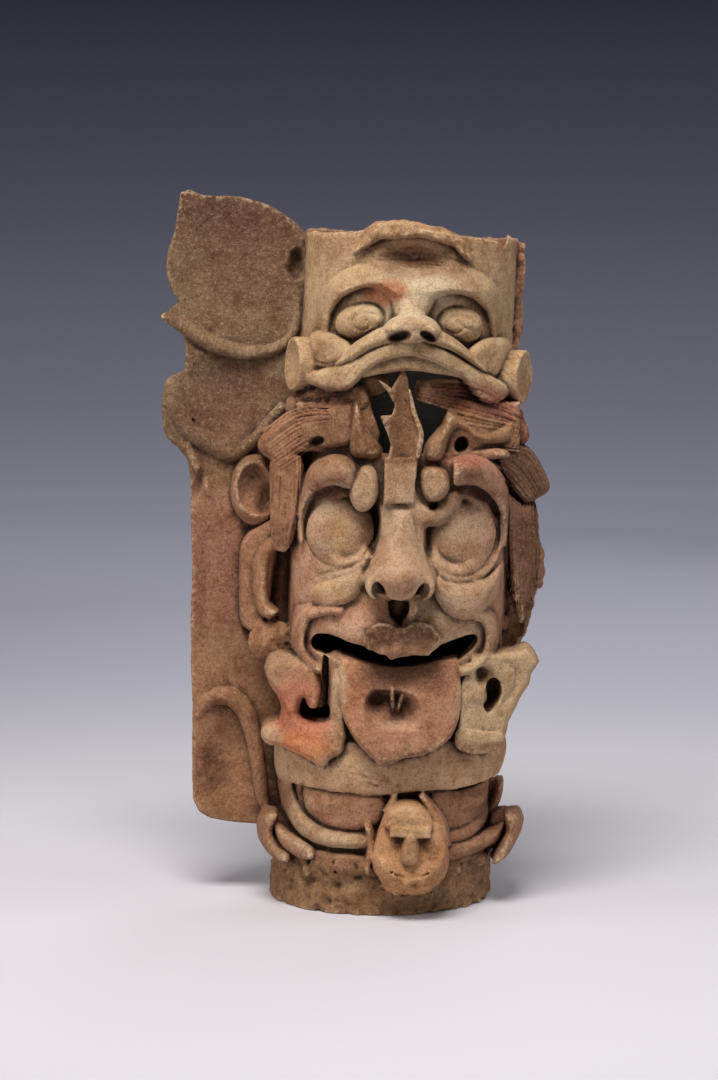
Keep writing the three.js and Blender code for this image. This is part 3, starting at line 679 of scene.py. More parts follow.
# The lower mask: two flat eyes under the collar, a thick jaw band, side curls and the pendant head
def lower_mask(clay):
    ground = tube_front(104)
    left_eye = [[-80, 120], [-42, 122], [-4, 119], [-2, 92], [-20, 84], [-40, 83], [-64, 88], [-77, 102]]
    right_eye = [[44, 118], [75, 117], [108, 119], [110, 98], [101, 84], [76, 78], [45, 82]]
    clay.add(cushion(left_eye, ground, 6, 9), 1)
    clay.add(cushion(right_eye, ground, 5, 9), 1)
    clay.add(lump((-56, 106, 81), (24, 12, 14), 0, -28), 6)
    clay.add(lump((80, 106, 60), (22, 10, 14), 0, 44), 6)
    groove(clay, [[-83, 124, 2], [-83, 108, 3.2], [-76, 94, 2.6], [-62, 86, 1.4]], 0, 1)
    jaw = [
        [-100, 132, 6], [-99, 114, 8.5], [-93, 97, 9.5], [-81, 83, 9.5], [-63, 75, 9], [-40, 73, 8],
        [-12, 74, 7.5],
    ]
    right_jaw = [[42, 74, 7], [62, 72, 7], [86, 75, 8], [104, 86, 7], [113, 102, 5], [115, 118, 4]]
    for line in (jaw, right_jaw):
        clay.add(cushion(ribbon(line), tube_front(105), 14, 8.5, 0), 1)
    # A second band below, pressed into small lobes
    low_band = [[-100, 60, 6], [-84, 54, 9], [-58, 51, 10], [-32, 50, 10], [-4, 50, 9]]
    right_low_band = [[58, 52, 9], [80, 54, 10], [98, 58, 9], [112, 66, 5]]
    for line in (low_band, right_low_band):
        clay.add(cushion(ribbon(line), tube_front(108), 8, 8, 0), 2)
    for x, z in ((-88, 45), (-64, 42), (-40, 41), (64, 43), (88, 46)):
        spot = math.sqrt(max(FOOT_RADIUS**2 - x**2, 0)) - 2
        clay.add(lump((x, z, spot - 1), (14, 9, 6)), 4)
    for x, z in ((-98, 56), (-74, 50), (-50, 52), (-28, 48), (76, 50), (100, 56)):
        spot = math.sqrt(max(FOOT_RADIUS**2 - x**2, 0)) + 5
        clay.cut(roll([[x, z + 7, spot, 1.4], [x + 4, z - 9, spot, 2]], 2), 2)
    clay.push(slab([[-104, 36], [112, 36], [112, 64], [-104, 64]], 20, 130, 2), 0.9, 9, 75, 6)
    # A strip and a curl that turns up and back on itself, at each side
    left_strip = [[-110, 82], [-92, 73], [-70, 64], [-66, 55], [-76, 50], [-92, 53], [-105, 62]]
    clay.add(cushion(left_strip, ramp_between((-110, 42), (-70, 84)), 18, 6), 0.5)
    right_strip = [[60, 67], [84, 69], [112, 76], [120, 80], [116, 62], [96, 54], [66, 51]]
    clay.add(cushion(right_strip, ramp_between((62, 92), (118, 34)), 18, 8), 1)
    left_curl = [
        [-120, 90], [-106, 90], [-110, 74], [-104, 61], [-92, 54], [-94, 45], [-111, 48], [-124, 62],
        [-127, 78],
    ]
    clay.add(cushion(left_curl, ramp_between((-126, 30), (-92, 70)), 20, 6, 3, 28), 0.5)
    right_curl = [[120, 89], [134, 90], [140, 79], [135, 62], [122, 45], [108, 43], [115, 58], [122, 72]]
    clay.add(cushion(right_curl, ramp_between((110, 60), (140, 26)), 20, 6, 3, 28), 0.5)
    left_back = [[-118, 86], [-98, 86], [-86, 66], [-94, 52], [-112, 54], [-122, 68]]
    right_back = [[108, 86], [128, 86], [132, 68], [120, 52], [100, 50], [102, 72]]
    clay.add(cushion(left_back, 22, 20, 6, 3, 24), 2)
    clay.add(cushion(right_back, 18, 18, 6, 3, 24), 2)


# The small head that hangs at the centre of the lower mask
def pendant_head(clay):
    head = [
        [-2, 98], [2, 110], [14, 115], [32, 113], [44, 104], [51, 90], [60, 72], [60, 50], [50, 34], [36, 27],
        [20, 26], [5, 32], [-7, 46], [-9, 64], [-6, 80],
    ]
    clay.add(cushion(head, 112, 20, 14, 3, 24), 1)
    jaw = [
        [-9, 66], [4, 68], [14, 64], [27, 62], [40, 64], [50, 68], [60, 66], [60, 46], [47, 31], [32, 26],
        [18, 26], [2, 34], [-8, 50],
    ]
    clay.add(cushion(jaw, 120, 28, 19), 9)
    clay.add(lump((4, 74, 122), (12, 22, 16)), 8)
    clay.add(lump((46, 74, 121), (12, 22, 16)), 8)
    cap = [[-1, 92], [1, 105], [13, 112], [32, 111], [43, 102], [46, 90], [24, 88]]
    clay.add(cushion(cap, 128, 19, 10), 1)
    clay.add(lump((26, 62, 122), (30, 24, 23)), 5)
    # A brow plate, a wedge of a nose between two eye hollows, and the line of a mouth
    clay.add(slab([[4, 85], [44, 84], [43, 95], [5, 96]], 128, 150, 3), 3)
    clay.cut(roll([[0, 97, 147, 1.4], [22, 98, 152, 1.6], [46, 96, 147, 1.4]], 3), 0.5)
    clay.cut(lump((9, 76, 150), (8, 9, 12), 14), 2)
    clay.cut(lump((42, 76, 150), (8, 9, 12), -14), 2)
    clay.add(cushion([[20, 90], [30, 90], [35, 68], [31, 58], [20, 58], [15, 68]], 132, 21, 6), 2)
    clay.cut(roll([[3, 54, 142, 1.6], [14, 48, 147, 2.2], [27, 46, 149, 2.4], [40, 48, 147, 2.2],
        [51, 54, 142, 1.6]]), 1)
    # Thin pieces stand up beside the cap.
    side = [[-18, 93, 3], [-14, 82, 4.5], [-12, 66, 5], [-15, 50, 4.5], [-12, 42, 2]]
    clay.add(cushion(ribbon(side), 104, 18, 4, 0), 0.5)
    clay.add(cushion(ribbon([[33, 121, 3], [44, 106, 5], [55, 88, 6], [61, 68, 5]]), 102, 20, 5, 0), 1)
    clay.add(cushion(ribbon([[8, 123, 3], [6, 112, 4], [0, 102, 4]]), 104, 18, 4, 0), 1)
    clay.push(lump((-15, 68, 118), (8, 26, 12)), 1.4, 4, 81, 5)


HEADBAND_RIGHT = [
    [7, 522], [32, 525], [61, 520], [86, 512], [106, 500], [119, 480], [98, 466], [66, 470], [46, 482], [34,
        492],
    [12, 500],
]
HEADBAND_LEFT = [
    [-115, 500], [-94, 514], [-68, 520], [-46, 520], [-36, 512], [-34, 496], [-56, 486], [-86, 476], [-110,
        476],
]


# The band of hair under the animal's jaw, open at the front behind the diadem
def headband(clay):
    clay.add(slab([[-104, 452], [112, 452], [112, 500], [-104, 500]], 20, 82, 4), 6)
    clay.add(lump((-52, 480, 80), (40, 34, 24), 0, -26), 6)
    clay.add(lump((66, 476, 76), (38, 34, 24), 0, 32), 6)
    vent = [
        [-46, 521], [-40, 530], [-24, 536], [4, 539], [30, 535], [58, 526], [40, 524], [10, 522],
        [12, 502], [28, 499], [42, 489], [36, 474], [26, 452], [-23, 452], [-23, 470], [-31, 490], [-35,
            505], [-38, 517],
    ]
    clay.add(cushion(HEADBAND_RIGHT, ramp_between((20, 92), (118, 34)), 18, 10), 1)
    clay.add(cushion(HEADBAND_LEFT, ramp_between((-112, 42), (-40, 92)), 16, 7), 1)
    clay.cut(slab(vent, 60, 170, 2, None, 2), 1)
    strap = [[-52, 526], [-32, 528], [-16, 524], [-19, 510], [-36, 505], [-52, 504]]
    clay.add(cushion(strap, ramp_between((-52, 80), (-16, 86)), 15, 6), 1)
    clay.push(slab([[-112, 476], [-60, 476], [-60, 512], [-112, 512]], 30, 120, 2), 1.8, 5, 85, 6)


MIDDLE_LEAF = [
    [-14, 446], [14, 446], [14, 460], [16, 474], [13, 486], [7, 496], [3, 512], [1, 526], [-4, 534], [-8,
        526],
    [-14, 515], [-27, 524], [-17, 511], [-10, 500], [-12, 489], [-23, 489], [-17, 475], [-12, 462],
]
LEFT_LEAF = [
    [-47, 506], [-41, 494], [-35, 480], [-26, 466], [-19, 453], [-25, 446], [-40, 446], [-50, 450],
    [-53, 466], [-52, 486],
]
LEFT_STRAP = [[-101, 480], [-86, 487], [-72, 497], [-50, 500], [-49, 464], [-60, 457], [-76, 456], [-96, 464]]
RIGHT_HOOK = [
    [20, 448], [28, 444], [38, 446], [42, 460], [46, 471], [52, 475], [60, 470], [70, 460], [88, 458], [107,
        463],
    [107, 481], [92, 477], [77, 474], [66, 480], [56, 488], [41, 493], [36, 480], [28, 470], [21, 460],
]


# The torn diadem: a tall leaf between two lower ones, standing free in front of the opening
def diadem(clay):
    # The middle leaf is a thin plate, hollow along its middle and torn at its edges.
    gutter = lambda x, z: 0.05 * (z - 445) + 0.028 * (x - 1) ** 2 - 3
    clay.add(slab(MIDDLE_LEAF, 108, 120, 1, gutter), 0.5)
    clay.add(roll([[14, 450, 122, 2], [16, 473, 125, 2.2], [8, 494, 124, 2], [3, 514, 124, 1.6]], 3), 0.5)
    clay.add(cushion(LEFT_LEAF, 92, 24, 9), 0.5)
    clay.add(cushion(LEFT_STRAP, ramp_between((-100, 70), (-52, 92)), 16, 7), 0.5)
    clay.cut(lump((-84, 462, 92), (8, 5, 14), 20), 1)
    clay.cut(roll([[-74, 456, 104, 1.6], [-64, 466, 108, 2], [-54, 478, 110, 1.6]]), 1)
    clay.add(cushion(RIGHT_HOOK, ramp_between((40, 98), (106, 66)), 20, 8, 2), 0.5)
    clay.cut(lump((56, 460, 110), (8, 9, 30), -20), 1.5)
    clay.add(cushion([[44, 446], [50, 453], [70, 456], [96, 455], [104, 448], [80, 444]], 84, 16, 5), 1)
    clay.push(slab(MIDDLE_LEAF, 100, 134, 2), 0.7, 5, 91, 4)


# The animal's upper jaw and brow at the top of the tube
def animal_head(clay):
    # Its forehead overhangs the eyes in two arched folds and runs down on to the snout.
    forehead = [
        [-84, 560], [-92, 580], [-90, 602], [-78, 620], [-52, 634], [-18, 640], [22, 640], [56, 632], [82,
            614],
        [92, 594], [92, 572], [84, 556], [79, 570], [73, 588], [57, 601], [38, 605], [23, 600], [19,
            587], [15, 574],
        [1, 570], [-13, 574], [-16, 588], [-18, 602], [-30, 611], [-48, 610], [-66, 600], [-75, 584], [-77,
            566],
    ]
    heights = lambda x, z: np.interp(z, [560, 590, 608, 620, 640], [9, 15, 19, 13, 2])
    clay.cut(lump((-48, 584, 122), (32, 24, 36), 8), 3)
    clay.cut(lump((52, 578, 120), (31, 24, 36), -12), 3)
    clay.add(cushion(forehead, tube_front(103), heights, 6, 2), 1)
    clay.add(lump((2, 612, 84), (40, 20, 26)), 12)
    clay.add(roll([[1, 612, 104, 10], [1, 596, 112, 11], [2, 580, 122, 13]]), 6)
    # Eyes: an almond ball under each fold, with a curl drawn in it
    for side, (x, z), tilt in zip((-1, 1), ANIMAL_EYES.values(), (8, -12)):
        clay.add(lump((x, z, 84), (27, 19, 19), tilt, 10 * side), 0.5)
        curl = [
            [x + 12, z + 7], [x, z + 9], [x - 10, z + 3], [x - 9, z - 5], [x, z - 8], [x + 7, z - 3],
            [x + 3, z + 2],
        ]
        groove(clay, [[*spot, 1.7] for spot in curl], 0.3, 0.5, 3)
    groove(clay, [[58, 584, 0.8], [63, 577, 1.6], [61, 570, 1.4], [66, 563, 1]], 0.3, 0.5, 3)
    groove(clay, [[54, 572, 1], [62, 570, 1.4], [72, 568, 0.9]], 0.3, 0.5, 3)
    # The cheeks behind the corners of the mouth
    left_cheek = [[-101, 552], [-90, 568], [-72, 566], [-56, 557], [-48, 546], [-64, 532], [-96, 530]]
    right_cheek = [[56, 546], [72, 561], [90, 562], [102, 553], [103, 530], [88, 520], [70, 528]]
    clay.add(cushion(left_cheek, ramp_between((-100, 52), (-52, 98)), 19, 12), 1)
    clay.add(cushion(right_cheek, ramp_between((60, 92), (102, 44)), 19, 12), 1)
    # The lip lies in two layers, one over the other.
    muzzle = lambda x, z: 118 - 0.0056 * x**2
    underside = [[-44, 526], [-32, 541], [0, 550], [38, 541], [58, 524], [38, 527], [2, 532], [-28, 528]]
    clay.add(cushion(underside, muzzle, 10, 4), 0.5)
    lower_layer = [
        [-101, 530], [-84, 532], [-66, 538], [-52, 545], [-38, 554], [-22, 560], [3, 566], [18, 561], [35,
            555],
        [51, 546], [68, 534], [86, 523], [100, 517], [102, 506], [88, 499], [74, 502], [61, 514], [51,
            526], [38, 532],
        [22, 540], [4, 545], [-14, 543], [-30, 537], [-42, 527], [-53, 515], [-72, 511], [-90, 516], [-102,
            521],
    ]
    clay.add(cushion(lower_layer, muzzle, 17, 6, 2, 30), 0.5)
    upper_layer = [
        [-70, 536], [-64, 546], [-52, 558], [-38, 567], [-22, 575], [2, 577], [24, 573], [42, 564], [58, 551],
        [70, 540], [78, 529], [63, 537], [48, 546], [33, 553], [17, 558], [3, 563], [-10, 559], [-24,
            556], [-38, 550],
        [-52, 541],
    ]
    clay.add(cushion(upper_layer, lambda x, z: muzzle(x, z) + 5, 17, 8, 2), 0.5)
    clay.cut(roll([[2, 562, 142, 1.4], [2, 552, 140, 2.2], [3, 542, 136, 1.4]], 3), 1)
    groove(clay, [[-97, 546, 1], [-84, 538, 1.8], [-70, 540, 1.6], [-62, 550, 1]], 0.3, 1, 3)
    # The wide nose with two flaring nostrils
    nose_pad = [[-25, 571], [-17, 582], [2, 587], [21, 582], [31, 570], [22, 563], [4, 557], [-14, 562]]
    clay.add(cushion(nose_pad, 118, 30, 9), 1)
    clay.cut(lump((-11, 565, 150), (13, 6.5, 24), 12), 0.5)
    clay.cut(lump((19, 565, 148), (10, 4.5, 24), -28), 0.5)


# Round ear ornaments at the ends of the animal's jaw, like short drums that face outwards
def ear_drums(clay):
    radius, height, edge = 26, 13, 2.5
    for x, z, d, turn in ((-99, 536, 58, -72), (104, 523, 52, 70)):
        turn = math.radians(turn)
        facing = np.array([math.sin(turn), 0, math.cos(turn)])
        place = np.array([x, z, d])

        def distance(px, pz, pd, facing=facing, place=place):
            u, v, w = px - place[0], pz - place[1], pd - place[2]
            along = u * facing[0] + w * facing[2]
            across = np.sqrt(np.maximum(u**2 + v**2 + w**2 - along**2, 0))
            flat = across - radius + edge
            deep = np.abs(along - height / 2 + 4) - height / 2 - 4 + edge
            outside = np.sqrt(np.maximum(flat, 0) ** 2 + np.maximum(deep, 0) ** 2)
            drum = outside + np.minimum(np.maximum(flat, deep), 0) - edge
            dish = np.sqrt(across**2 + (along - height - 70) ** 2) - 74
            return np.maximum(drum, -dish)

        clay.add([Part(place - radius - 6, place + radius + 6, distance)], 0.5)


# The flange's outline and raised lines are given in upright x.
FLANGE_OUTLINE = [
    [-197, 702], [-188, 705], [-176, 700], [-163, 699], [-148, 699], [-133, 697], [-109, 690], [-96,
        682], [-88, 676],
    [-70, 660], [-72, 560], [-84, 400], [-92, 200], [-96, 66], [-119, 70], [-151, 73], [-170, 76], [-182, 83],
    [-188, 96], [-189, 140], [-188, 200], [-190, 258], [-188, 330], [-189, 418], [-192, 438], [-201,
        450], [-211, 458],
    [-216, 470], [-217, 490], [-216, 503], [-206, 522], [-194, 527], [-193, 542], [-194, 557], [-198,
        570], [-211, 574],
    [-215, 579], [-209, 587], [-200, 595], [-208, 608], [-212, 625], [-211, 642], [-205, 661], [-201,
        676], [-199, 690],
]
STUMP_OUTLINE = [
    [108, 190], [118, 192], [122, 204], [124, 222], [132, 240], [146, 262], [152, 284], [157, 310], [159,
        330],
    [154, 352], [158, 380], [153, 404], [146, 424], [140, 444], [136, 470], [137, 505], [135, 540], [141,
        570],
    [140, 600], [144, 625], [143, 652], [129, 656],
]


def flange(clay):
    clay.add(slab(upright(FLANGE_OUTLINE), FLANGE_BACK, FLANGE_FRONT, 2.5), 2)
    face = FLANGE_FRONT
    # The scrolls are dished, and their lower edges stand up as rims.
    clay.cut(lump(upright([[-150, 636, face + 10]])[0], (58, 74, 18)), 5)
    clay.cut(lump(upright([[-148, 508, face + 12]])[0], (50, 54, 21)), 6)
    clay.cut(lump(upright([[-120, 320, face + 16]])[0], (26, 110, 20)), 5)
    clay.cut(lump(upright([[-176, 300, face + 17]])[0], (13, 120, 20)), 5)
    upper_edge = [
        [-213, 580, face - 4, 4.5], [-202, 576, face - 3, 7.5], [-188, 568, face - 2, 9], [-172, 557,
            face - 2, 9],
        [-155, 550, face - 1, 8], [-130, 545, face, 7], [-106, 548, face + 1, 6], [-90, 559, face + 1, 5],
        [-83, 576, face, 5], [-82, 596, face - 2, 4],
    ]
    lower_rim = [
        [-206, 512, face - 7, 9], [-202, 490, face - 6, 12], [-190, 471, face - 5, 12], [-170, 455,
            face - 3, 10],
        [-146, 445, face - 1, 8.5], [-127, 457, face + 2, 7], [-111, 476, face + 4, 6], [-98, 490, face + 5,
            6],
    ]
    clay.add(roll(upright(upper_edge)), 2)
    clay.add(roll(upright(lower_rim)), 2)
    # Below each rim the clay is drawn in, so that the scroll above overlaps.
    clay.cut(roll(upright([[-190, 556, face + 1, 2], [-170, 543, face + 2, 3.4], [-140, 535, face + 2, 4],
        [-106, 538, face + 4, 3]])), 2)
    clay.cut(roll(upright([[-186, 478, face + 2, 1.6], [-165, 463, face + 3, 2.2],
        [-145, 452, face + 4, 2.2], [-127, 466, face + 5, 2], [-112, 484, face + 6, 1.6]])), 1)
    # A tie runs from the rim down the flange's outer edge.
    tie = [
        [-192, 452, face, 4.5], [-183, 434, face + 2, 4.5], [-172, 410, face + 1, 4],
        [-164, 392, face - 3, 3],
    ]
    clay.add(roll(upright(tie)), 2)
    clay.cut(lump(upright([[-182, 410, face + 5]])[0], (6, 24, 9), -18), 1.5)
    # A loop hangs near the foot of the flange, dished inside, with a scar on its outer side.
    loop = [
        [-182, 182, face - 2, 5], [-169, 199, face, 8], [-149, 201, face + 2, 9.5],
        [-134, 184, face + 3, 8.5], [-125, 150, face + 3, 7.5], [-119, 104, face + 2, 6], [-112, 80, face, 4],
    ]
    clay.cut(lump(upright([[-150, 142, face + 10]])[0], (28, 56, 19)), 6)
    clay.add(roll(upright(loop)), 2.5)
    clay.push(lump(upright([[-168, 126, face - 4]])[0], (18, 24, 14)), 1.7, 8, 101, 6)
    # The crack where the flange was joined to the tube, with a deep hole in it
    clay.cut(roll(upright([[-76, 672, 26, 2.4], [-75, 640, 34, 2.4], [-76, 600, 34, 1.2]])), 0.5)
    clay.cut(lump(upright([[-83, 632, 12]])[0], (8, 17, 18)), 1.5)
    clay.push(lump(upright([[-88, 640, 8]])[0], (20, 44, 14)), 1.1, 8, 103, 6)


# The root that the right flange left when it broke off
def broken_flange(clay):
    clay.add(slab(upright(STUMP_OUTLINE), STUMP_BACK, STUMP_FRONT, 1.5), 3)
    clay.push(slab(upright(STUMP_OUTLINE), STUMP_BACK - 6, STUMP_FRONT + 6, 2), 2.6, 7, 111, 6)


# The ear on each side, under a round cup. On the right the breakage took most of it.
def ears(clay):
    clay.add(lump((-143, 409, 12), (25, 36, 20), 8, -10), 1)
    clay.cut(lump((-145, 411, 36), (19, 29, 24), 8, -10), 1)
    clay.cut(lump((-134, 402, 24), (12, 18, 16)), 3)
    plate = [
        [-118, 378], [-138, 374], [-152, 362], [-156, 345], [-155, 309], [-151, 273], [-128, 271],
        [-122, 320],
    ]
    clay.add(cushion(plate, FLANGE_FRONT - 2, lambda x, z: 12 + 0.4 * np.maximum(x + 156, 0), 4), 1)
    inner = [[-108, 362, 5], [-122, 358, 7], [-132, 344, 8], [-134, 318, 8], [-131, 296, 8], [-118, 284, 7]]
    clay.add(cushion(ribbon(inner), ramp_between((-140, 16), (-108, 36)), 18, 7, 0), 1)
    clay.cut(lump((-117, 316, 50), (9, 25, 30), 4), 1.5)
    clay.add(lump((-120, 260, 26), (22, 20, 14)), 6)
    clay.push(lump((-122, 260, 36), (26, 24, 26)), 2.6, 8, 121, 6)
    clay.add(roll([[120, 376, 40, 8], [136, 350, 26, 9], [140, 318, 16, 8]]), 3)
    clay.push(lump((134, 300, 22), (22, 70, 24)), 1.8, 9, 123, 6)


LEFT_FAN = [
    [-70, 494], [-88, 498], [-104, 494], [-124, 480], [-139, 465], [-142, 452], [-130, 442], [-114,
        434], [-99, 448],
    [-84, 460], [-74, 474],
]
RIGHT_FAN = [
    [92, 456], [108, 459], [126, 452], [142, 430], [149, 412], [139, 403], [122, 399], [105, 420],
    [93, 438],
]
LEFT_STRANDS = [[-127, 447], [-98, 449], [-96, 405], [-106, 357], [-122, 357], [-127, 403]]
RIGHT_STRANDS = [
    [103, 410], [118, 400], [134, 396], [140, 363], [139, 333], [136, 304], [126, 278], [116, 304], [110,
        343],
    [104, 373],
]


# Hair: thick locks pressed on, with comb lines drawn through them
def hair(clay):
    # Straight strands in front of the left ear, and a curved fan over the temple
    hanging = lambda x, z: np.interp(z, [355, 385, 450], [4, 15, 18])
    clay.add(cushion(LEFT_STRANDS, ramp_between((-126, 44), (-98, 66)), hanging, 7), 3)
    comb(clay, [[-127, 446], [-128, 400], [-123, 354]], [[-97, 448], [-96, 400], [-104, 354]], 9, 1.8, 13)
    clay.add(cushion(LEFT_FAN, ramp_between((-142, 34), (-72, 84)), 18, 10), 1)
    comb(clay, [[-70, 497], [-106, 495], [-141, 468]], [[-76, 464], [-98, 446], [-118, 432]], 13, 2.0, 11)
    # The right temple's fan and the strands below it
    clay.add(cushion(RIGHT_STRANDS, ramp_between((104, 60), (140, 26)), 18, 8), 1)
    comb(clay, [[103, 408], [104, 360], [116, 284]], [[136, 400], [141, 350], [136, 290]], 10, 2.0, 19)
    clay.add(cushion(RIGHT_FAN, ramp_between((94, 66), (148, 20)), 20, 10), 1)
    comb(clay, [[90, 438], [104, 418], [124, 397]], [[96, 460], [128, 456], [150, 418]], 11, 2.2, 17)
    # Comb lines in the bands over the brow
    comb(clay, [[10, 499], [56, 480], [112, 470]], [[8, 522], [62, 520], [112, 494]], 10, 1.8, 21)
    comb(clay, [[-112, 480], [-80, 486], [-36, 496]], [[-112, 502], [-78, 516], [-36, 516]], 8, 1.2, 23)
    clay.add(cushion([[103, 492], [119, 480], [125, 462], [114, 454], [100, 456], [108, 472]], 40, 18, 7), 1)
    comb(clay, [[96, 486], [110, 474], [102, 456]], [[106, 494], [124, 480], [122, 456]], 5, 1.6, 25)


LEDGE = [
    [-60, 640], [-48, 658], [-40, 669], [-28, 675], [-13, 674], [1, 673], [16, 667], [31, 665], [46,
        659], [56, 648],
    [58, 636], [48, 639], [40, 648], [24, 654], [6, 658], [-12, 657], [-30, 656], [-42, 650],
]


# The tube's upper edge is chipped, and a lump that stood over the forehead has broken off.
def broken_top(clay):
    clay.cut(lump((4, 640, 124), (54, 17, 30), -4), 4)
    clay.add(cushion(LEDGE, tube_front(100), 17, 4, 2, 24), 0.5)
    clay.cut(roll([[-48, 644, 106, 3], [-30, 650, 112, 5], [2, 651, 114, 6], [34, 643, 108, 4]]), 1.5)
    comb(clay, [[-36, 630], [10, 630], [52, 626]], [[-34, 650], [10, 652], [50, 640]], 6, 1.2, 27)
    clay.push(cushion(LEDGE, tube_front(92), 36, 4, 2, 24), 2.6, 7, 131, 5)
    cells = clay.cells((-400, 630, -400), (400, 760, 400))
    x, z, d = clay.places(cells)
    axes = [axis[span] for axis, span in zip(clay.axes, cells)]
    marks, edge = [-110, -60, -48, -36, 0, 26, 48, 64, 84, 90, 94, 104], [663, 664, 667, 674, 675, 668, 660,
        656, 654, 648, 660, 652]
    rim = np.interp(x.ravel(), marks, edge).reshape(x.shape)
    rim = np.where(d > 10, rim, 661 - 0.05 * x)
    ragged = 1.8 * noise_block(axes, 16, 133) + 1.1 * noise_block(axes, 5, 134)
    clay.field[cells] = np.maximum(clay.field[cells], z - rim - ragged)


def bore(clay):
    low, high = (-110, -20, -110), (110, 760, 110)
    cells = clay.cells(low, high)
    x, z, d = clay.places(cells)
    finger_marks = 0.7 * np.sin(z / 9) + 0.5 * np.sin(z / 23 + 1)
    inside = np.sqrt(x**2 + d**2) - BORE_RADIUS + finger_marks
    clay.field[cells] = -smooth_min(-clay.field[cells], inside, 3)


# The hand of the potter and the years in the ground
def weather(clay):
    clay.field += 0.7 * noise_block(clay.axes, 34, 201)
    cells = clay.cells((-400, -10, -20), (400, 760, 200))
    axes = [axis[span] for axis, span in zip(clay.axes, cells)]
    clay.field[cells] += 0.5 * noise_block(axes, 8, 202)
    # The foot is coarse and worn.
    cells = clay.cells((-200, -10, -200), (200, 56, 200))
    axes = [axis[span] for axis, span in zip(clay.axes, cells)]
    x, z, d = clay.places(cells)
    worn = np.clip((52 - z) / 14, 0, 1) * np.clip((np.sqrt(x**2 + d**2) - 98) / 4, 0, 1)
    clay.field[cells] += worn * (2.2 * noise_block(axes, 9, 203) + 1.3 * noise_block(axes, 4, 204))
    clay.field[cells] = np.maximum(clay.field[cells], -z)


def shape_clay():
    """Works the clay in order: what comes later lies on what came before, or cuts into it."""
    clay = Clay(GRID_LOW, GRID_HIGH, CELL)
    steps = (
        tube_and_foot, mask_ground, eyes_and_brows, forehead_ornament, nose, mouth, collar, lower_mask,
        pendant_head, headband, animal_head, broken_top, bore, flange, broken_flange, ears, hair,
        corner_scrolls, tongue, diadem, ear_drums, weather,
    )
    for step in steps:
        step(clay)
    return clay


def sampled(block, spot):
    """The values of a block of cells at places between them."""
    limit = np.array(block.shape) - 2
    cell = np.clip(np.floor(spot).astype(int), 0, limit)
    share = np.clip(spot - cell, 0, 1)
    share = share * share * (3 - 2 * share)
    value = 0
    for corner in np.ndindex(2, 2, 2):
        weight = np.prod(np.where(corner, share, 1 - share), axis=1)
        value = value + weight * block[tuple((cell + corner).T)]
    return value


def noise_at(points, grain, seed):
    """Smooth random values from -1 to 1 at points, with a change about every grain millimetres."""
    spot = (points - np.array(GRID_LOW)) / grain + 1
    counts = ((np.array(GRID_HIGH) - np.array(GRID_LOW)) / grain).astype(int) + 4
    return sampled(np.random.default_rng(seed).uniform(-1, 1, counts), spot)


def box_blur(block, radius):
    """Averages each cell with its neighbours, along each axis in turn."""
    size = 2 * radius + 1
    for axis in range(3):
        margins = [(radius + 1, radius) if k == axis else (0, 0) for k in range(3)]
        total = np.cumsum(np.pad(block, margins, mode="edge"), axis=axis, dtype=np.float32)
        count = block.shape[axis]
        upper = np.take(total, np.arange(size, size + count), axis=axis)
        block = (upper - np.take(total, np.arange(count), axis=axis)) / size
    return block


def crowding(clay, points, reach):
    """How full of clay the space round each point is, from -1 on a sharp edge to 1 in a deep hollow."""
    filled = np.clip(0.5 - clay.field / clay.cell, 0, 1)
    even = tuple(slice(0, n // 2 * 2) for n in filled.shape)
    filled = filled[even]
    half = sum(filled[i::2, j::2, k::2] for i, j, k in np.ndindex(2, 2, 2)) / 8
    radius = max(1, int(round(reach / (2 * clay.cell) / 1.6)))
    blurred = box_blur(box_blur(half, radius), radius)
    spot = (points - clay.low) / (2 * clay.cell) - 0.25
    return np.clip(2 * sampled(blurred, spot) - 1, -1, 1)


def clay_object(clay):
    """The clay's surface as one mesh object, still in millimetres and leaning coordinates."""
    grid = openvdb.FloatGrid(background=FAR)
    grid.copyFromArray(np.clip(clay.field, -FAR, FAR))
    points, triangles, quads = grid.convertToPolygons(isovalue=0.0, adaptivity=0.004)
    faces = np.concatenate([triangles, quads[:, [0, 1, 2]], quads[:, [0, 2, 3]]])
    mesh = bpy.data.meshes.new("fired_clay_stand")
    mesh.vertices.add(len(points))
    mesh.vertices.foreach_set("co", (points * clay.cell + clay.low).astype(np.float32).ravel())
    mesh.loops.add(3 * len(faces))
    mesh.loops.foreach_set("vertex_index", faces.astype(np.int32).ravel())
    mesh.polygons.add(len(faces))
    mesh.polygons.foreach_set("loop_start", np.arange(0, 3 * len(faces), 3, dtype=np.int32))
    mesh.update(calc_edges=True)
    stand = bpy.data.objects.new("fired_clay_stand", mesh)
    bpy.context.scene.collection.objects.link(stand)
    if len(faces) > TRIANGLE_LIMIT:
        thin = stand.modifiers.new("thin", "DECIMATE")
        thin.ratio = TRIANGLE_LIMIT / len(faces)
        graph = bpy.context.evaluated_depsgraph_get()
        thinned = bpy.data.meshes.new_from_object(stand.evaluated_get(graph))
        stand.modifiers.remove(thin)
        stand.data = thinned
        bpy.data.meshes.remove(mesh)
        thinned.name = "fired_clay_stand"
    return stand


def linear(red, green, blue):
    """A colour as the renderer takes it, from 0-255 values as an eye sees them."""
    return np.array([(c / 255 / 12.92 if c <= 10 else ((c / 255 + 0.055) / 1.055) ** 2.4) for c in (red,
        green, blue)])


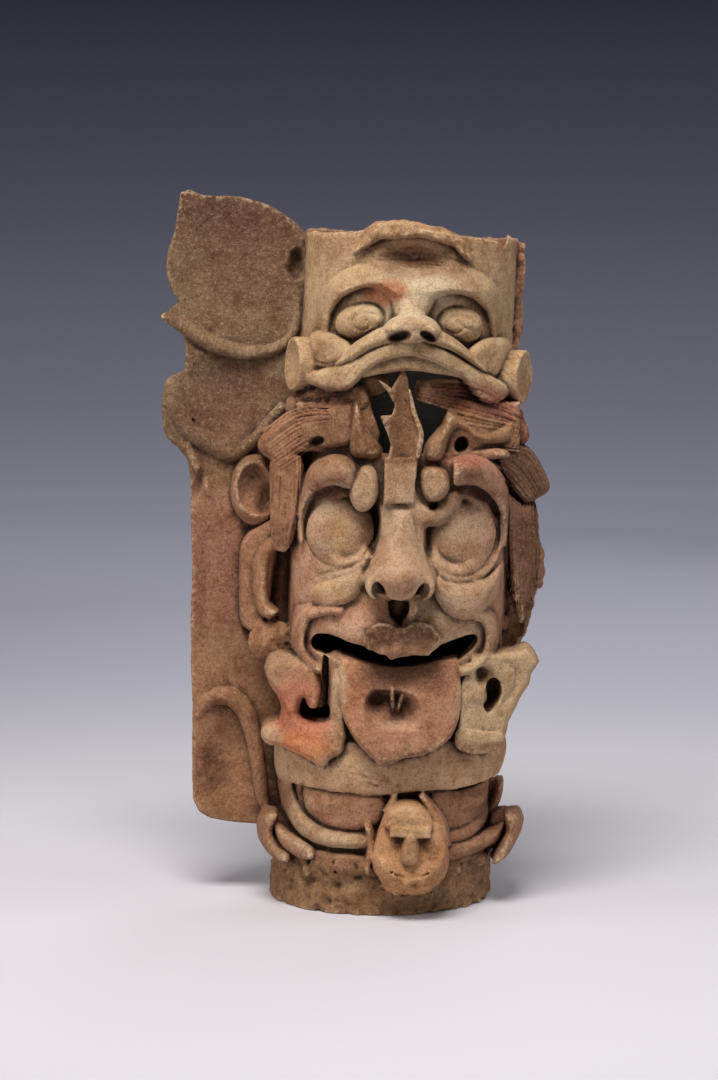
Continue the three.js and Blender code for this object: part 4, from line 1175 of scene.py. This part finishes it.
class Paint:
    """The colours of the clay at its points, laid on one over another."""

    def __init__(self, points):
        self.points = points
        self.x, self.z, self.d = points[:, 0], points[:, 2], -points[:, 1]
        self.broad = noise_at(points, 26, 301)
        self.fine = noise_at(points, 8, 302)
        self.colour = np.tile(linear(160, 124, 98), (len(points), 1))

    def lay(self, colour, mask, strength=1.0):
        share = (np.clip(mask, 0, 1) * strength)[:, None]
        self.colour = self.colour * (1 - share) + linear(*colour) * share

    def spot(self, place, half, ragged=0.35, soft=0.3):
        """A mask that is 1 inside an ellipsoid and fades raggedly at its edge."""
        away = np.sqrt(
            ((self.x - place[0]) / half[0]) ** 2
            + ((self.z - place[1]) / half[1]) ** 2
            + ((self.d - place[2]) / half[2]) ** 2
        )
        edge = 1 + ragged * (0.6 * self.broad + 0.5 * self.fine)
        return np.clip((edge - away) / soft + 0.5, 0, 1)

    def area(self, outline, back=0, ragged=4, soft=5):
        """A mask inside an outline of [x, z] corners, in front of a depth."""
        away = outline_distance(self.x.astype(np.float32), self.z.astype(np.float32),
            np.array(outline, dtype=float))
        away = away + ragged * (0.6 * self.broad + 0.6 * self.fine)
        return np.clip(0.5 - away / soft, 0, 1) * np.clip((self.d - back) / 8 + 0.5, 0, 1)


def painted(clay, points):
    paint = Paint(points)
    x, z, d = paint.x, paint.z, paint.d
    lay, spot, area = paint.lay, paint.spot, paint.area
    broad, fine = paint.broad, paint.fine
    radius = np.sqrt(x**2 + d**2)
    # The clay's own colour drifts between tan, grey and pink.
    lay((140, 108, 84), 0.5 + 0.8 * broad)
    lay((168, 128, 106), 0.4 - 0.9 * noise_at(points, 40, 303))
    # The flange: grey tan above, redder at its top edge, pink and then tan below
    on_flange = np.clip((-98 - x) / 6, 0, 1) * np.clip((30 - d) / 10, 0, 1)
    lay((126, 104, 84), on_flange * np.clip((z - 400) / 60 + 0.4 * broad, 0, 1), 0.95)
    lay((104, 74, 60), on_flange * np.clip((z - 650) / 30 + 0.5 * broad, 0, 1), 0.8)
    lay((108, 78, 64), on_flange * spot((-160, 640, 0), (50, 46, 60), 0.6, 0.6), 0.55)
    lay((118, 82, 70), on_flange * spot((-170, 488, 0), (34, 40, 60), 0.6, 0.6), 0.5)
    lay((158, 112, 96), on_flange * np.clip((z - 250) / 50, 0, 1) * np.clip((420 - z) / 50, 0, 1), 0.8)
    lay((164, 124, 96), on_flange * np.clip((260 - z) / 60, 0, 1), 0.85)
    lay((96, 62, 52), on_flange * spot((-176, 128, 5), (18, 24, 30), 0.5, 0.5), 0.5)
    # Pale slip over the face, the animal, the collar and the jaw
    face = spot((4, 348, 70), (112, 122, 96), 0.1, 0.12) * np.clip((d - 20) / 18, 0, 1)
    lay((200, 168, 142), face, 0.95)
    lay((192, 172, 148), face * np.clip(0.5 + 1.5 * noise_at(points, 30, 305), 0, 1), 0.6)
    # Painted shade in the hollows between each eye and the nose
    lay((108, 84, 66), spot((-28, 390, 92), (9, 30, 22), 0.3, 0.6), 0.55)
    lay((128, 102, 82), spot((40, 392, 100), (14, 26, 24), 0.4, 0.7), 0.5)
    lay((120, 94, 76), spot((60, 436, 106), (22, 14, 22), 0.4, 0.7), 0.6)
    lay((148, 120, 96), spot((-46, 440, 112), (14, 14, 22), 0.4, 0.7), 0.5)
    lay((204, 150, 130), spot((-88, 320, 70), (24, 60, 50), 0.5, 0.6), 0.6)
    lay((202, 148, 128), spot((-40, 290, 110), (44, 24, 40), 0.5, 0.6), 0.55)
    lay((200, 150, 132), spot((90, 420, 80), (24, 50, 40), 0.5, 0.6), 0.5)
    lay((198, 146, 126), spot((100, 330, 60), (16, 60, 40), 0.5, 0.6), 0.5)
    animal = np.clip((z - 512 - 3 * fine) / 8, 0, 1) * np.clip((radius - 99) / 3, 0,
        1) * np.clip((d - 10) / 20, 0, 1)
    lay((196, 172, 140), animal, 0.9)
    lay((220, 208, 184), spot((2, 600, 110), (52, 28, 50), 0.4, 0.6) * animal, 0.8)
    lay((176, 140, 108), animal * np.clip((z - 636 + 8 * broad) / 18, 0, 1), 0.65)
    # A brown stain and painted shade under the overhang of the broken ledge
    lay((130, 98, 76), spot((4, 632, 104), (52, 12, 24), 0.4, 0.5), 0.55)
    lay((196, 128, 96), spot((-28, 606, 112), (22, 12, 30), 0.4, 0.4), 0.85)
    lay((206, 182, 148), area([[-100, 514], [-60, 512], [-20, 534], [4, 544], [40, 530], [70, 508],
        [100, 500], [104, 520], [60, 544], [4, 566], [-50, 550], [-100, 536]], 60, 3, 6), 0.6)
    lay((222, 192, 160), area([[-120, 118], [120, 122], [120, 174], [-120, 174]], 4, 3, 5), 0.85)
    lay((170, 128, 104), area([[-118, 66], [120, 66], [120, 119], [-118, 119]], 4, 4, 6), 0.8)
    lay((188, 148, 128), spot((-52, 100, 100), (34, 16, 30), 0.5, 0.6), 0.6)
    lay((204, 184, 156), spot((-88, 90, 88), (22, 26, 30), 0.4, 0.5) + spot((-50, 72, 104), (40, 10, 24),
        0.4, 0.5), 0.7)
    # Foot and back
    foot = np.clip((52 - z) / 8, 0, 1)
    lay((156, 124, 94), foot, 0.9)
    lay((128, 100, 76), foot * np.clip(0.3 + 1.4 * fine, 0, 1), 0.5)
    lay((150, 116, 90), np.clip((-d - 10) / 30, 0, 1) * np.clip((x + 112) / 8, 0, 1), 0.7)
    # Painted shade inside the tube: the bore is painted near black
    inside = np.clip((97 - radius) / 3, 0, 1) * np.clip((650 - z) / 60, 0, 1)
    lay((44, 34, 28), inside, 0.95)
    # Pendant head
    lay((208, 162, 120), spot((24, 66, 128), (38, 56, 40), 0.15, 0.25), 0.85)
    lay((220, 196, 162), area([[10, 85], [42, 85], [42, 95], [10, 95]], 130, 3, 5), 0.6)
    # A painted highlight on the pendant's cap
    lay((216, 196, 164), spot((20, 102, 134), (20, 12, 20), 0.4, 0.5), 0.6)
    # Brown paint and painted shade on the pendant's face under the brow plate
    lay((138, 104, 80), spot((26, 72, 148), (18, 11, 14), 0.3, 0.5), 0.5)
    # Hair and its band
    lay((136, 98, 78), area([[-108, 444], [-108, 514], [-60, 520], [-36, 512], [-34, 446], [-60, 452]], 20,
        4, 5), 0.85)
    lay((154, 104, 86), area([[20, 494], [24, 520], [70, 522], [118, 500], [124, 458], [104, 450],
        [96, 482]], 20, 4, 5), 0.9)
    lay((164, 122, 98), area([[-142, 430], [-142, 470], [-104, 492], [-66, 496], [-76, 458], [-100, 440],
        [-124, 430]], 4, 3, 4), 0.9)
    lay((166, 122, 98), area([[-127, 446], [-96, 450], [-99, 356], [-125, 352]], 30, 2, 4), 0.85)
    lay((124, 92, 74), area([[94, 448], [108, 464], [150, 452], [152, 408], [124, 396], [106, 420]], 4, 2,
        4), 0.9)
    lay((126, 92, 74), area([[103, 410], [140, 404], [144, 350], [136, 284], [112, 286], [104, 350]], 12, 2,
        4), 0.9)
    # Diadem
    lay((142, 106, 80), area([[-58, 444], [-50, 512], [-28, 510], [-28, 522], [-6, 536], [4, 536],
        [20, 480], [18, 444]], 92, 1, 3), 0.9)
    lay((164, 128, 98), area([[24, 444], [26, 474], [44, 494], [66, 490], [90, 480], [112, 484], [112, 462],
        [74, 458], [44, 472], [40, 446]], 74, 2, 4), 0.85)
    lay((150, 116, 90), area([[-100, 450], [-100, 480], [-54, 496], [-54, 452]], 70, 2, 4), 0.8)
    lay((190, 128, 112), spot((56, 446, 106), (34, 8, 30), 0.4, 0.5), 0.6)
    # Tongue and scrolls
    lay((178, 132, 110), area(TONGUE, 90, 2, 5), 0.95)
    lay((196, 142, 108), area(TONGUE, 90, 2, 5) * np.clip((-x - 10) / 30, 0, 1), 0.6)
    # The tongue's root is darker: brown paint and painted shade under the lip
    lay((100, 66, 52), area(TONGUE, 90, 2, 5) * spot((6, 236, 120), (44, 15, 30), 0.4, 0.8), 0.6)
    # Painted shade in the upper left of the tongue's dimple
    lay((110, 72, 56), spot((-6, 213, 118), (20, 13, 14), 0.3, 0.6), 0.6)
    lay((128, 92, 74), area(TONGUE, 90, 2, 5) * np.clip((172 - z + 6 * fine) / 8, 0, 1), 0.5)
    lay((206, 184, 156), spot((-50, 205, 100), (9, 44, 30), 0.3, 0.4), 0.7)
    lay((190, 156, 130), area(LEFT_SCROLL, 50, 2, 5), 0.9)
    lay((204, 124, 100), spot((-90, 196, 95), (30, 34, 40), 0.4, 0.6), 0.75)
    lay((222, 148, 104), spot((-84, 166, 100), (30, 14, 36), 0.4, 0.6), 0.8)
    lay((204, 172, 146), spot((-118, 174, 84), (14, 10, 24), 0.3, 0.4), 0.8)
    lay((212, 188, 156), area(RIGHT_SCROLL, 40, 2, 5), 0.85)
    lay((226, 204, 172), spot((72, 215, 100), (10, 40, 30), 0.3, 0.4), 0.7)
    lay((130, 98, 74), spot((92, 164, 86), (30, 7, 30), 0.4, 0.5), 0.7)
    lay((226, 194, 170), spot((-34, 282, 116), (30, 10, 24), 0.4, 0.6), 0.5)
    lay((138, 104, 80), area([[-29, 262], [-26, 282], [-4, 289], [14, 289], [38, 281], [42, 268], [6, 258]],
        110, 1, 3), 0.85)
    lay((186, 146, 118), area([[-23, 274], [-24, 262], [-4, 252], [32, 260], [34, 270]], 116, 1, 3), 0.8)
    lay((112, 72, 60), spot((4, 298, 146), (10, 11, 16), 0.2, 0.4), 0.7)
    # Red paint and painted shade under the hoods of the brows, yellow on the left eye
    lay((160, 102, 84), spot((-66, 414, 100), (28, 9, 26), 0.4, 0.5), 0.65)
    lay((142, 94, 80), spot((72, 412, 98), (30, 9, 26), 0.4, 0.5), 0.5)
    lay((196, 162, 104), spot((-58, 366, 106), (8, 22, 16), 0.5, 0.7), 0.45)
    lay((210, 176, 120), spot((-60, 320, 104), (30, 12, 20), 0.4, 0.5), 0.4)
    # Ears
    lay((176, 132, 104), spot((-130, 330, 30), (24, 100, 40), 0.3, 0.4), 0.6)
    lay((198, 166, 134), spot((-106, 538, 74), (26, 30, 24), 0.2, 0.3) + spot((118, 524, 62), (24, 30, 24),
        0.2, 0.3), 0.7)
    # Dirt from the years in the ground and painted shade darken the hollows, and wear bared the edges
    tight, near, wide = (crowding(clay, points, reach) for reach in (3, 7, 20))
    dirt_and_shade = 1.1 * np.maximum(near, 0) + 0.8 * np.maximum(wide - 0.15, 0) + 0.5 * np.maximum(tight - 0.1,
        0) - 0.12
    dirt_and_shade = np.clip(dirt_and_shade, 0, 1)
    lay((78, 52, 38), np.clip(1.7 * dirt_and_shade, 0, 1), 0.85)
    worn = np.clip(-1.3 * near - 0.3 + 0.35 * fine, 0, 1)
    lay((206, 178, 146), worn * np.clip((d - 20) / 20, 0, 1), 0.45)
    # Broken faces show the brown body of the clay. The pit under the nose and the tongue's dimple get painted
    # shade, and the dimple's lower rim a painted highlight.
    crescent = [
        [-29, 268], [-28, 284], [-14, 291], [-4, 290], [6, 285], [16, 291], [30, 291], [40, 284], [46, 271],
        [6, 275],
    ]
    lay((116, 84, 62), area(crescent, 110, 1.5, 2.5), 0.9)
    lay((92, 66, 50), area([[20, 488], [24, 524], [60, 522], [50, 484]], 60, 3, 6), 0.35)
    # Painted shade deep in the pit under the nose
    lay((70, 46, 36), spot((4, 300, 118), (11, 14, 16), 0.2, 0.3), 0.9)
    # Painted shade in the tongue's dimple
    lay((84, 54, 42), spot((-6, 212, 114), (20, 12, 11), 0.3, 0.6), 0.85)
    # A painted highlight on the dimple's lower rim
    lay((214, 176, 150), spot((4, 190, 124), (24, 4.5, 16), 0.4, 0.5), 0.6)
    # The hollow mask carries the dirt and painted shade of the hollows, and the painted shade inside the tube
    # at double weight
    return paint.colour, dirt_and_shade + 2 * inside, np.clip(-near, 0, 1)


def node(tree, kind, inputs=None, **settings):
    made = tree.nodes.new("ShaderNode" + kind)
    for name, value in settings.items():
        setattr(made, name, value)
    for key, value in (inputs or {}).items():
        if isinstance(value, bpy.types.NodeSocket):
            tree.links.new(value, made.inputs[key])
        else:
            made.inputs[key].default_value = value
    return made


def ramp(tree, value, low, high, to_low=0.0, to_high=1.0):
    inputs = {"Value": value, "From Min": low, "From Max": high, "To Min": to_low, "To Max": to_high}
    return node(tree, "MapRange", inputs).outputs["Result"]


def mixed(tree, blend, share, first, second):
    made = tree.nodes.new("ShaderNodeMix")
    made.data_type = "RGBA"
    made.blend_type = blend
    sockets = [made.inputs["Factor"]] + [s for s in made.inputs if s.type == "RGBA"]
    for socket, value in zip(sockets, (share, first, second)):
        if isinstance(value, bpy.types.NodeSocket):
            tree.links.new(value, socket)
        elif socket.type == "RGBA":
            socket.default_value = (*value, 1)
        else:
            socket.default_value = value
    return next(s for s in made.outputs if s.type == "RGBA")


def noise(tree, place, scale, detail=3.0, roughness=0.6):
    inputs = {"Vector": place, "Scale": scale, "Detail": detail, "Roughness": roughness}
    return node(tree, "TexNoise", inputs).outputs["Fac"]


def product(tree, first, second):
    return node(tree, "Math", {0: first, 1: second}, operation="MULTIPLY").outputs[0]


def fired_clay():
    """Matt low-fired clay: the painted colours, broken up by mottling, temper grains, flecks and grit."""
    material = bpy.data.materials.new("fired_clay")
    material.use_nodes = True
    tree = material.node_tree
    tree.nodes.clear()
    place = node(tree, "TexCoord").outputs["Object"]
    paint = node(tree, "Attribute", attribute_name="paint").outputs["Color"]
    hollow = node(tree, "Attribute", attribute_name="hollow").outputs["Fac"]
    edge = node(tree, "Attribute", attribute_name="edge").outputs["Fac"]
    # Smoke and soil have browned the whole of it.
    paint = mixed(tree, "MULTIPLY", 1.0, paint, (0.86, 0.79, 0.69))
    blotch = noise(tree, place, 38, 5)
    mottle = noise(tree, place, 250, 4, 0.7)
    grain = noise(tree, place, 620, 3, 0.75)
    fleck = noise(tree, place, 950, 2, 0.6)
    stain = noise(tree, place, 95, 4, 0.65)
    colour = mixed(tree, "MULTIPLY", ramp(tree, blotch, 0.46, 0.66), paint, (0.74, 0.64, 0.56))
    colour = mixed(tree, "MULTIPLY", ramp(tree, stain, 0.50, 0.30), colour, (0.80, 0.73, 0.66))
    colour = mixed(tree, "MIX", ramp(tree, stain, 0.54, 0.74, 0, 0.1), colour, linear(206, 174, 140))
    colour = mixed(tree, "MIX", ramp(tree, mottle, 0.52, 0.72, 0, 0.24), colour, linear(206, 178, 142))
    colour = mixed(tree, "MULTIPLY", ramp(tree, mottle, 0.47, 0.30, 0, 0.6), colour, (0.55, 0.45, 0.37))
    colour = mixed(tree, "MULTIPLY", ramp(tree, grain, 0.5, 0.36, 0, 0.65), colour, (0.42, 0.34, 0.29))
    colour = mixed(tree, "MIX", ramp(tree, grain, 0.60, 0.74, 0, 0.28), colour, linear(214, 192, 160))
    colour = mixed(tree, "MIX", ramp(tree, fleck, 0.68, 0.73, 0, 0.6), colour, linear(66, 48, 40))
    # Dirt and painted shade darken the hollows.
    soil_and_shade = product(tree, ramp(tree, hollow, 0.08, 0.5, 0, 0.9), ramp(tree, mottle, 0.3, 0.6, 1, 0.6))
    colour = mixed(tree, "MIX", soil_and_shade, colour, linear(48, 34, 27))
    # The inside of the tube is painted near black: painted shade.
    colour = mixed(tree, "MIX", ramp(tree, hollow, 1.2, 1.9, 0, 0.95), colour, linear(20, 16, 14))
    bared = product(tree, ramp(tree, edge, 0.25, 0.6, 0, 0.5), ramp(tree, mottle, 0.45, 0.6))
    colour = mixed(tree, "MIX", bared, colour, linear(222, 196, 160))
    pits = noise(tree, place, 130, 5, 0.65)
    height = node(tree, "Math", {0: product(tree, grain, 0.35), 1: product(tree, pits, 1.0)},
        operation="ADD").outputs[0]
    bump = node(tree, "Bump", {"Height": height, "Strength": 0.85, "Distance": 0.0022}).outputs["Normal"]
    shader = node(
        tree,
        "BsdfPrincipled",
        {
            "Base Color": colour,
            "Roughness": ramp(tree, mottle, 0.3, 0.7, 0.98, 0.82),
            "Normal": bump,
            "Specular IOR Level": 0.25,
        },
    )
    node(tree, "OutputMaterial", {"Surface": shader.outputs["BSDF"]})
    return material


def axis_place():
    """Where the tube's axis stands at the floor, in metres: the flange's tip touches the box's left side."""
    low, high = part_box("censer_stand")
    return low[0] - FLANGE_LEFT / MILLIMETRES, high[1] - FOOT_RADIUS / MILLIMETRES


def make_stand():
    clay = shape_clay()
    stand = clay_object(clay)
    mesh = stand.data
    count = len(mesh.vertices)
    points = np.empty(3 * count, dtype=np.float32)
    mesh.vertices.foreach_get("co", points)
    points = points.reshape(-1, 3)
    colour, hollow, edge = painted(clay, points.astype(float))
    shown = mesh.attributes.new("paint", "FLOAT_COLOR", "POINT")
    shown.data.foreach_set("color", np.concatenate([colour, np.ones((count, 1))],
        axis=1).astype(np.float32).ravel())
    # hollow carries the dirt and painted shade of the hollows and the painted shade inside the tube; edge
    # carries the wear
    for name, values in (("hollow", hollow), ("edge", edge)):
        attribute = mesh.attributes.new(name, "FLOAT", "POINT")
        attribute.data.foreach_set("value", values.astype(np.float32))
    # The tube leans, and the frame's origin is under the middle of the stand's box.
    points[:, 0] += LEAN * points[:, 2]
    points /= MILLIMETRES
    axis_x, axis_y = axis_place()
    points[:, 0] += axis_x
    points[:, 1] += axis_y
    # The noise moves a few outermost points past the solid's box, and these are brought back to its sides.
    low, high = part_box("censer_stand")
    points = np.clip(points, np.array(low), np.array(high))
    mesh.vertices.foreach_set("co", points.ravel())
    mesh.polygons.foreach_set("use_smooth", np.ones(len(mesh.polygons), dtype=bool))
    mesh.materials.append(fired_clay())
    mesh.update()
    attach(stand, "root")
    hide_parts("censer_stand")
    return stand


# The studio: a round sweep. Its tones, pale under the stand and slate grey far behind it, are a painted
# fall-off of the light.
def studio():
    flat, bend, top = 4.6, 1.8, 3.4
    profile = [(radius, 0.0) for radius in np.linspace(0.02, flat, 40)]
    for turn in np.linspace(0, math.pi / 2, 17)[1:]:
        profile.append((flat + bend * math.sin(turn), bend - bend * math.cos(turn)))
    profile.append((flat + bend, top))
    sides = 96
    corners, faces = [], []
    for radius, height in profile:
        for k in range(sides):
            turn = 2 * math.pi * k / sides
            corners.append((radius * math.cos(turn), radius * math.sin(turn), height))
    for ring in range(len(profile) - 1):
        for k in range(sides):
            after = (k + 1) % sides
            faces.append((ring * sides + k, ring * sides + after, (ring + 1) * sides + after,
                (ring + 1) * sides + k))
    faces.append(tuple(range(sides))[::-1])
    mesh = bpy.data.meshes.new("sweep")
    mesh.from_pydata(corners, [], faces)
    mesh.polygons.foreach_set("use_smooth", np.ones(len(mesh.polygons), dtype=bool))
    sweep = bpy.data.objects.new("sweep", mesh)
    bpy.context.scene.collection.objects.link(sweep)
    material = bpy.data.materials.new("sweep")
    material.use_nodes = True
    tree = material.node_tree
    tree.nodes.clear()
    place = node(tree, "TexCoord").outputs["Object"]
    split = node(tree, "SeparateXYZ", {0: place}).outputs
    flat_place = node(tree, "CombineXYZ", {0: split[0], 1: split[1]}).outputs[0]
    away = node(tree, "VectorMath", {0: flat_place}, operation="LENGTH").outputs["Value"]
    reach = node(tree, "Math", {0: away, 1: split[2]}, operation="ADD").outputs[0]
    tones_end = 8  # metres from the axis, with the height added
    # Painted fall-off of the light: the tone goes from pale under the stand to slate grey far off and high up
    share = ramp(tree, reach, 0, tones_end)
    falloff_tones = node(tree, "ValToRGB", {0: share})
    marks = [
        (0.0, (204, 200, 206)), (0.076, (205, 202, 208)), (0.158, (188, 187, 197)), (0.22, (179, 178, 190)),
        (0.30, (174, 173, 186)), (0.43, (188, 187, 202)), (0.575, (196, 196, 212)), (0.69, (160, 161, 174)),
        (0.845, (113, 113, 129)), (0.96, (70, 70, 84)),
    ]
    elements = falloff_tones.color_ramp.elements
    for _ in range(len(marks) - 2):
        elements.new(0.5)
    for element, (position, tone) in zip(elements, marks):
        element.position = position
        element.color = (*linear(*tone), 1)
    shader = node(tree, "BsdfPrincipled", {"Base Color": falloff_tones.outputs[0], "Roughness": 0.95,
        "Specular IOR Level": 0.1})
    node(tree, "OutputMaterial", {"Surface": shader.outputs["BSDF"]})
    mesh.materials.append(material)


def area_light(name, place, target, size, power, colour=(1, 1, 1)):
    light = bpy.data.lights.new(name, "AREA")
    light.shape = "RECTANGLE"
    light.size, light.size_y = size
    light.energy = power
    light.color = colour
    lamp = bpy.data.objects.new(name, light)
    lamp.location = place
    lamp.rotation_euler = (Vector(target) - Vector(place)).to_track_quat("-Z", "Y").to_euler()
    lamp.visible_camera = False
    bpy.context.scene.collection.objects.link(lamp)


def lights():
    heart = (0, 0, 0.36)
    area_light("overhead", (-0.25, -1.2, 2.4), heart, (1.3, 0.9), 74, (1, 0.97, 0.93))
    area_light("left_fill", (-2.2, -0.6, 0.9), heart, (0.8, 1.6), 17, (1, 0.95, 0.9))
    area_light("right_fill", (2.2, -0.4, 0.9), heart, (0.8, 1.6), 12, (0.96, 0.98, 1))
    area_light("back_fill", (0.9, 2.4, 1.8), heart, (1.6, 1.2), 20)
    area_light("wash", (0, 3.4, 3.0), (0, 5.2, 0), (4, 1.5), 30)
    world = bpy.data.worlds.new("studio")
    world.use_nodes = True
    world.node_tree.nodes["Background"].inputs["Color"].default_value = (*linear(170, 172, 184), 1)
    world.node_tree.nodes["Background"].inputs["Strength"].default_value = 0.35
    bpy.context.scene.world = world


def camera():
    """3 m in front of the tube's axis and a little above the stand's middle, looking slightly down."""
    axis_x, axis_y = axis_place()
    away, across, height, pitch = 3.0, -0.021, 0.67, 5.95
    photo_height, focal_pixels, sensor = 1080, 3017, 36.0
    data = bpy.data.cameras.new("camera")
    data.sensor_width = sensor
    data.lens = sensor * focal_pixels / photo_height
    data.clip_end = 40
    view = bpy.data.objects.new("camera", data)
    view.location = (axis_x + across, axis_y - away, height)
    view.rotation_euler = (math.radians(90 - pitch), 0, 0)
    bpy.context.scene.collection.objects.link(view)
    bpy.context.scene.camera = view


camera()
make_stand()
studio()
lights()
bpy.context.scene.view_settings.view_transform = "Standard"
